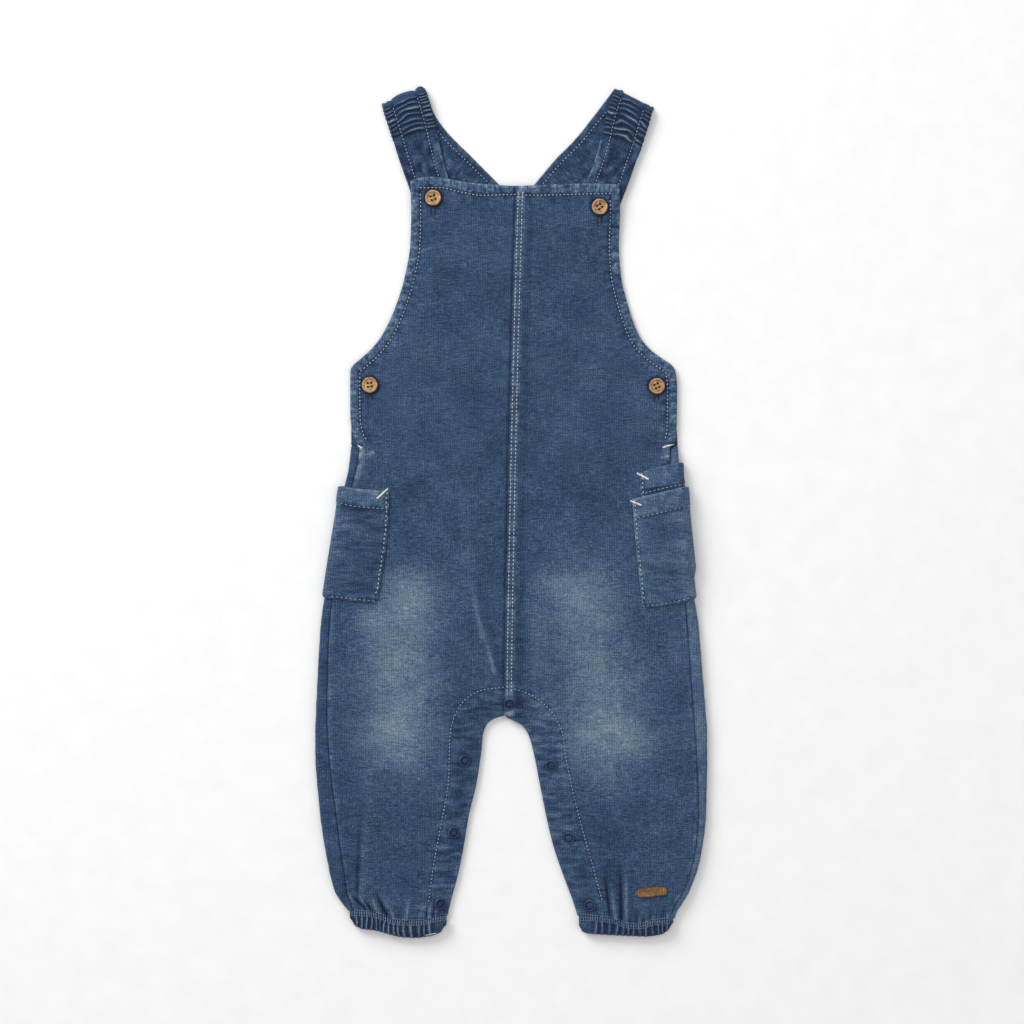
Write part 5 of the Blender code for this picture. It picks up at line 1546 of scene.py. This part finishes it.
def make_buttons(settings):
    """Four-hole turned buttons with a rim, dished inside it, and their thread."""
    thread = cotton_thread("Cotton thread, button", "#6b4c2c", "#3c2814")
    radius, thick = BUTTON_RADIUS, BUTTON_THICK
    dish, floor = radius * 0.66, thick - 0.55
    profile = [(0.0, floor)] + [(dish * k / 14, floor) for k in range(1, 15)]
    profile += [(radius * 0.73, thick - 0.22), (radius * 0.80, thick), (radius * 0.88, thick),
                (radius * 0.96, thick - 0.3), (radius, thick - 0.8), (radius, 0.8),
                (radius * 0.94, 0.25), (radius * 0.8, 0.0), (0.0, 0.0)]
    holes = [(math.cos(math.pi / 4 + k * math.pi / 2) * 1.75 * MM,
              math.sin(math.pi / 4 + k * math.pi / 2) * 1.75 * MM) for k in range(4)]
    for name, spot, turn in BUTTONS:
        hit, normal = laid_on(FRONTS, spot.x, spot.y)
        bm, tone = spun(profile, 64)
        for vert in bm.verts:
            reach = math.hypot(vert.co.x, vert.co.y) / MM
            # painted highlight on the rim's crown, painted shade on the dish's wall and along the
            # outer edge where the button meets the cloth
            vert[tone] = 0.12 * bump(reach - radius * 0.84, 0.7) - 0.22 * bump(
                reach - radius * 0.7, 0.35) - 0.45 * ease((reach - radius * 0.9) / 0.5)
            if vert.co.z < 0.9 * floor * MM:
                continue
            for x, y in holes:
                gap = math.hypot(vert.co.x - x, vert.co.y - y) / MM
                depth = inside(gap, 0.52, 0.30)
                vert.co.z -= 1.25 * MM * depth
                # painted shade in the holes
                vert[tone] -= 0.95 * depth
        seated(bm, hit, normal, 0.15, turn)
        wood = turned_wood("Turned wood, " + name, settings.wood, hit, turn + 0.8)
        keep("wood_" + name, bm, wood, (name,))
        made = []
        tilt = Vector((0.0, 0.0, 1.0)).rotation_difference(normal)
        for (ax, ay), (bx, by) in (holes[:2], holes[2:]):
            middle = Vector(((ax + bx) / 2, (ay + by) / 2, (floor - 0.05) * MM))
            run = Vector((bx - ax, by - ay, 0.0)).normalized()
            aside = Vector((-run.y, run.x, 0.0))
            for strand in (-0.16, 0.15):
                spin = Matrix.Rotation(turn, 4, "Z")
                at = spin @ (middle + aside * strand * MM)
                place = hit + normal * 0.15 * MM + tilt @ at
                stitch_at(made, place, normal, tilt @ (spin @ run), 2.5, 0.30)
        keep_stitches("thread_" + name, made, thread)


def make_snaps(settings):
    """Open ring snaps pressed into the facing, the cloth showing inside the ring."""
    brass = lacquered_brass("Lacquered brass, ring snaps")
    denim = washed_denim(settings, "in the snaps")
    radius, thick = SNAP_RADIUS, SNAP_THICK
    hole = radius * 0.74
    profile = [(hole, 0.0), (hole, thick * 0.5), (hole + 0.18, thick * 0.8),
               (radius * 0.78, thick), (radius * 0.9, thick * 0.86), (radius, thick * 0.4),
               (radius, 0.0)]
    for name, spot in SNAPS:
        hit, normal = laid_on(FRONTS, spot.x, spot.y)
        bm, tone = spun(profile, 32)
        for vert in bm.verts:
            reach = math.hypot(vert.co.x, vert.co.y) / MM
            # painted highlight along the ring's crown, the rest darker
            vert[tone] = 1.0 * bump(reach - radius * 0.87, 0.26) - 0.4
        seated(bm, hit, normal, 0.05, 0.0)
        keep("ring_" + name, bm, brass, (name,))
        cap = [(0.0, 0.46), (hole * 0.4, 0.44), (hole * 0.8, 0.30), (hole, 0.12), (hole, 0.0)]
        bm, tone = spun(cap, 24)
        for vert in bm.verts:
            reach = math.hypot(vert.co.x, vert.co.y) / MM
            # darker cloth, with painted shade towards the ring round it
            vert[tone] = -0.25 - 0.5 * ease(reach / hole * 3.0 - 2.0)
        seated(bm, hit, normal, 0.05, 0.0)
        keep("cloth_" + name, bm, denim)


def make_tag(settings):
    """Bare leather tag, its left end cut to a point, sewn at both ends."""
    leather = vegetable_leather("Vegetable-tanned leather, tag", settings.leather)
    half, wide = TAG_LENGTH / 2, TAG_WIDTH / 2
    bm = bmesh.new()
    bm.loops.layers.uv.new("Cloth")
    tone = bm.verts.layers.float.new("tone")
    bmesh.ops.create_grid(bm, x_segments=60, y_segments=20, size=0.5, calc_uvs=True)
    turn = Matrix.Rotation(TAG_TURN, 3, "Z")
    for vert in bm.verts:
        along, across = vert.co.x * 2, vert.co.y * 2
        reach = wide * min(1.0, 0.22 + 0.78 * (along + 1.0) * half / 3.4)
        reach *= 1.0 - 0.30 * ease((along - 1.0) * half / 1.4 + 1.0)
        x, y = along * half, across * reach
        place = turn @ Vector((x, y, 0.0))
        found = laid_on(FRONTS, TAG_PLACE.x + place.x, TAG_PLACE.y + place.y)
        edge = min(reach - abs(y), half - abs(x))
        height = TAG_THICK + 0.35 - cut_edge(edge, 1.0, 0.5)
        height -= 0.25 * bump(abs(x) - half + 2.2, 0.7) * (abs(y) < reach * 0.7)
        vert.co = Vector((found[0].x, found[0].y, found[0].z + height * MM))
        vert[tone] = -0.35 * bump(edge, 0.6) - 0.2 * bump(abs(x) - half + 2.2, 0.9)
    tag = keep("leather_tag_sewn", bm, leather, ("leather_tag",))
    shell = tag.modifiers.new("Wall", "SOLIDIFY")
    shell.thickness = TAG_THICK * MM
    shell.offset = -1.0
    cream = cotton_thread("Cotton thread, tag", "#cbb891", "#8f7a55")
    made = []
    for end in (-1.0, 1.0):
        for k in range(4):
            at = turn @ Vector((end * (half - 2.2), (k - 1.5) * 1.1, 0.0))
            found = laid_on(("leather_tag_sewn",), TAG_PLACE.x + at.x, TAG_PLACE.y + at.y)
            stitch_at(made, *found, turn @ Vector((0.0, 1.0, 0.0)), 1.0, 0.5)
    keep_stitches("thread_tag", made, cream)


def make_stage(settings):
    """Pale paper floor, soft lights from the upper left and a camera straight above."""
    bm = bmesh.new()
    bmesh.ops.create_grid(bm, x_segments=2, y_segments=2, size=6.0)
    bmesh.ops.translate(bm, vec=(0.0, 0.0, -FLOOR_DROP * MM), verts=bm.verts)
    mesh = bpy.data.meshes.new("floor")
    bm.to_mesh(mesh)
    bm.free()
    mesh.materials.append(paper_floor("White studio paper", settings.paper))
    floor = bpy.data.objects.new("floor", mesh)
    bpy.context.scene.collection.objects.link(floor)

    for row in LAMPS:
        data = bpy.data.lights.new(row.name, "AREA")
        data.shape = "SQUARE"
        data.size = row.size
        data.energy = row.power
        lamp = bpy.data.objects.new(row.name, data)
        lamp.location = row.place
        lamp.rotation_mode = "QUATERNION"
        lamp.rotation_quaternion = (-Vector(row.place)).to_track_quat("-Z", "Y")
        bpy.context.scene.collection.objects.link(lamp)
    world = bpy.data.worlds.new("Studio")
    world.use_nodes = True
    world.node_tree.nodes["Background"].inputs["Color"].default_value = linear("#ffffff")
    world.node_tree.nodes["Background"].inputs["Strength"].default_value = 0.38
    bpy.context.scene.world = world
    bpy.context.scene.view_settings.view_transform = "Standard"

    camera = bpy.data.cameras.new("camera")
    camera.lens = CAMERA_LENS
    camera.clip_end = 20.0
    eye = bpy.data.objects.new("camera", camera)
    eye.location = CAMERA_PLACE
    bpy.context.scene.collection.objects.link(eye)
    bpy.context.scene.camera = eye


# ---------------------------------------------------------------- operators and panel

class DungareesSettings(bpy.types.PropertyGroup):
    """Sizes and colours that a user would change."""
    cell: bpy.props.FloatProperty(
        name="Cloth cell", description="Mesh cell of the cloth",
        default=1.05 * MM, min=0.8 * MM, max=6.0 * MM, unit="LENGTH", precision=5)
    pitch: bpy.props.FloatProperty(
        name="Stitch pitch", description="From one stitch to the next",
        default=2.45 * MM, min=1.5 * MM, max=6.0 * MM, unit="LENGTH", precision=5)
    indigo: bpy.props.FloatVectorProperty(
        name="Indigo", description="Colour of the washed cloth between its pale and dark places",
        subtype="COLOR", default=linear("#324c67")[:3], min=0.0, max=1.0)
    thread: bpy.props.FloatVectorProperty(
        name="Thread", description="Colour of the pale sewing thread",
        subtype="COLOR", default=linear("#bcc5ce")[:3], min=0.0, max=1.0)
    wood: bpy.props.FloatVectorProperty(
        name="Wood", description="Colour of the buttons between their grain",
        subtype="COLOR", default=linear("#a47e53")[:3], min=0.0, max=1.0)
    leather: bpy.props.FloatVectorProperty(
        name="Leather", description="Colour of the tag",
        subtype="COLOR", default=linear("#8f6734")[:3], min=0.0, max=1.0)
    paper: bpy.props.FloatVectorProperty(
        name="Paper", description="Colour of the studio floor",
        subtype="COLOR", default=linear("#f9f9f9")[:3], min=0.0, max=1.0)


class DUNGAREES_OT_fronts(bpy.types.Operator):
    """Make the two front halves"""
    bl_idname = "dungarees.fronts"
    bl_label = "Fronts"

    def execute(self, context):
        make_fronts(context.scene.dungarees)
        return {"FINISHED"}


class DUNGAREES_OT_backs(bpy.types.Operator):
    """Make the two back halves with their side strips"""
    bl_idname = "dungarees.backs"
    bl_label = "Backs"

    def execute(self, context):
        make_backs(context.scene.dungarees)
        return {"FINISHED"}


class DUNGAREES_OT_cuffs(bpy.types.Operator):
    """Make the gathered cuffs"""
    bl_idname = "dungarees.cuffs"
    bl_label = "Cuffs"

    def execute(self, context):
        make_cuffs(context.scene.dungarees)
        return {"FINISHED"}


class DUNGAREES_OT_straps(bpy.types.Operator):
    """Make the shoulder straps"""
    bl_idname = "dungarees.straps"
    bl_label = "Straps"

    def execute(self, context):
        make_straps(context.scene.dungarees)
        return {"FINISHED"}


class DUNGAREES_OT_pockets(bpy.types.Operator):
    """Make the side pockets"""
    bl_idname = "dungarees.pockets"
    bl_label = "Pockets"

    def execute(self, context):
        make_pockets(context.scene.dungarees)
        return {"FINISHED"}


class DUNGAREES_OT_stitches(bpy.types.Operator):
    """Sew the rows that show"""
    bl_idname = "dungarees.stitches"
    bl_label = "Stitches"

    def execute(self, context):
        make_stitches(context.scene.dungarees)
        return {"FINISHED"}


class DUNGAREES_OT_bartacks(bpy.types.Operator):
    """Sew the bartacks"""
    bl_idname = "dungarees.bartacks"
    bl_label = "Bartacks"

    def execute(self, context):
        make_bartacks(context.scene.dungarees)
        return {"FINISHED"}


class DUNGAREES_OT_buttonholes(bpy.types.Operator):
    """Work the buttonholes"""
    bl_idname = "dungarees.buttonholes"
    bl_label = "Buttonholes"

    def execute(self, context):
        make_buttonholes(context.scene.dungarees)
        return {"FINISHED"}


class DUNGAREES_OT_buttons(bpy.types.Operator):
    """Make the wooden buttons and their thread"""
    bl_idname = "dungarees.buttons"
    bl_label = "Buttons"

    def execute(self, context):
        make_buttons(context.scene.dungarees)
        return {"FINISHED"}


class DUNGAREES_OT_snaps(bpy.types.Operator):
    """Make the ring snaps"""
    bl_idname = "dungarees.snaps"
    bl_label = "Snaps"

    def execute(self, context):
        make_snaps(context.scene.dungarees)
        return {"FINISHED"}


class DUNGAREES_OT_tag(bpy.types.Operator):
    """Make the bare leather tag"""
    bl_idname = "dungarees.tag"
    bl_label = "Tag"

    def execute(self, context):
        make_tag(context.scene.dungarees)
        return {"FINISHED"}


class DUNGAREES_OT_stage(bpy.types.Operator):
    """Make the floor, the lights and the camera"""
    bl_idname = "dungarees.stage"
    bl_label = "Stage"

    def execute(self, context):
        make_stage(context.scene.dungarees)
        return {"FINISHED"}


OPERATORS = (
    DUNGAREES_OT_fronts, DUNGAREES_OT_backs, DUNGAREES_OT_cuffs, DUNGAREES_OT_straps,
    DUNGAREES_OT_pockets, DUNGAREES_OT_stitches, DUNGAREES_OT_bartacks, DUNGAREES_OT_buttonholes,
    DUNGAREES_OT_buttons, DUNGAREES_OT_snaps, DUNGAREES_OT_tag, DUNGAREES_OT_stage,
)


class DUNGAREES_PT_panel(bpy.types.Panel):
    """Lists the steps that make the dungarees."""
    bl_label = "Dungarees"
    bl_idname = "DUNGAREES_PT_panel"
    bl_space_type = "VIEW_3D"
    bl_region_type = "UI"
    bl_category = "Dungarees"

    def draw(self, context):
        settings = context.scene.dungarees
        for name in ("cell", "pitch", "indigo", "thread", "wood", "leather", "paper"):
            self.layout.prop(settings, name)
        for step in OPERATORS:
            self.layout.operator(step.bl_idname)


def register():
    bpy.utils.register_class(DungareesSettings)
    bpy.types.Scene.dungarees = bpy.props.PointerProperty(type=DungareesSettings)
    for step in OPERATORS:
        bpy.utils.register_class(step)
    bpy.utils.register_class(DUNGAREES_PT_panel)


def unregister():
    bpy.utils.unregister_class(DUNGAREES_PT_panel)
    for step in reversed(OPERATORS):
        bpy.utils.unregister_class(step)
    del bpy.types.Scene.dungarees
    bpy.utils.unregister_class(DungareesSettings)


def main():
    register()
    for step in OPERATORS:
        group, name = step.bl_idname.split(".")
        getattr(getattr(bpy.ops, group), name)()


if __name__ == "__main__":
    main()
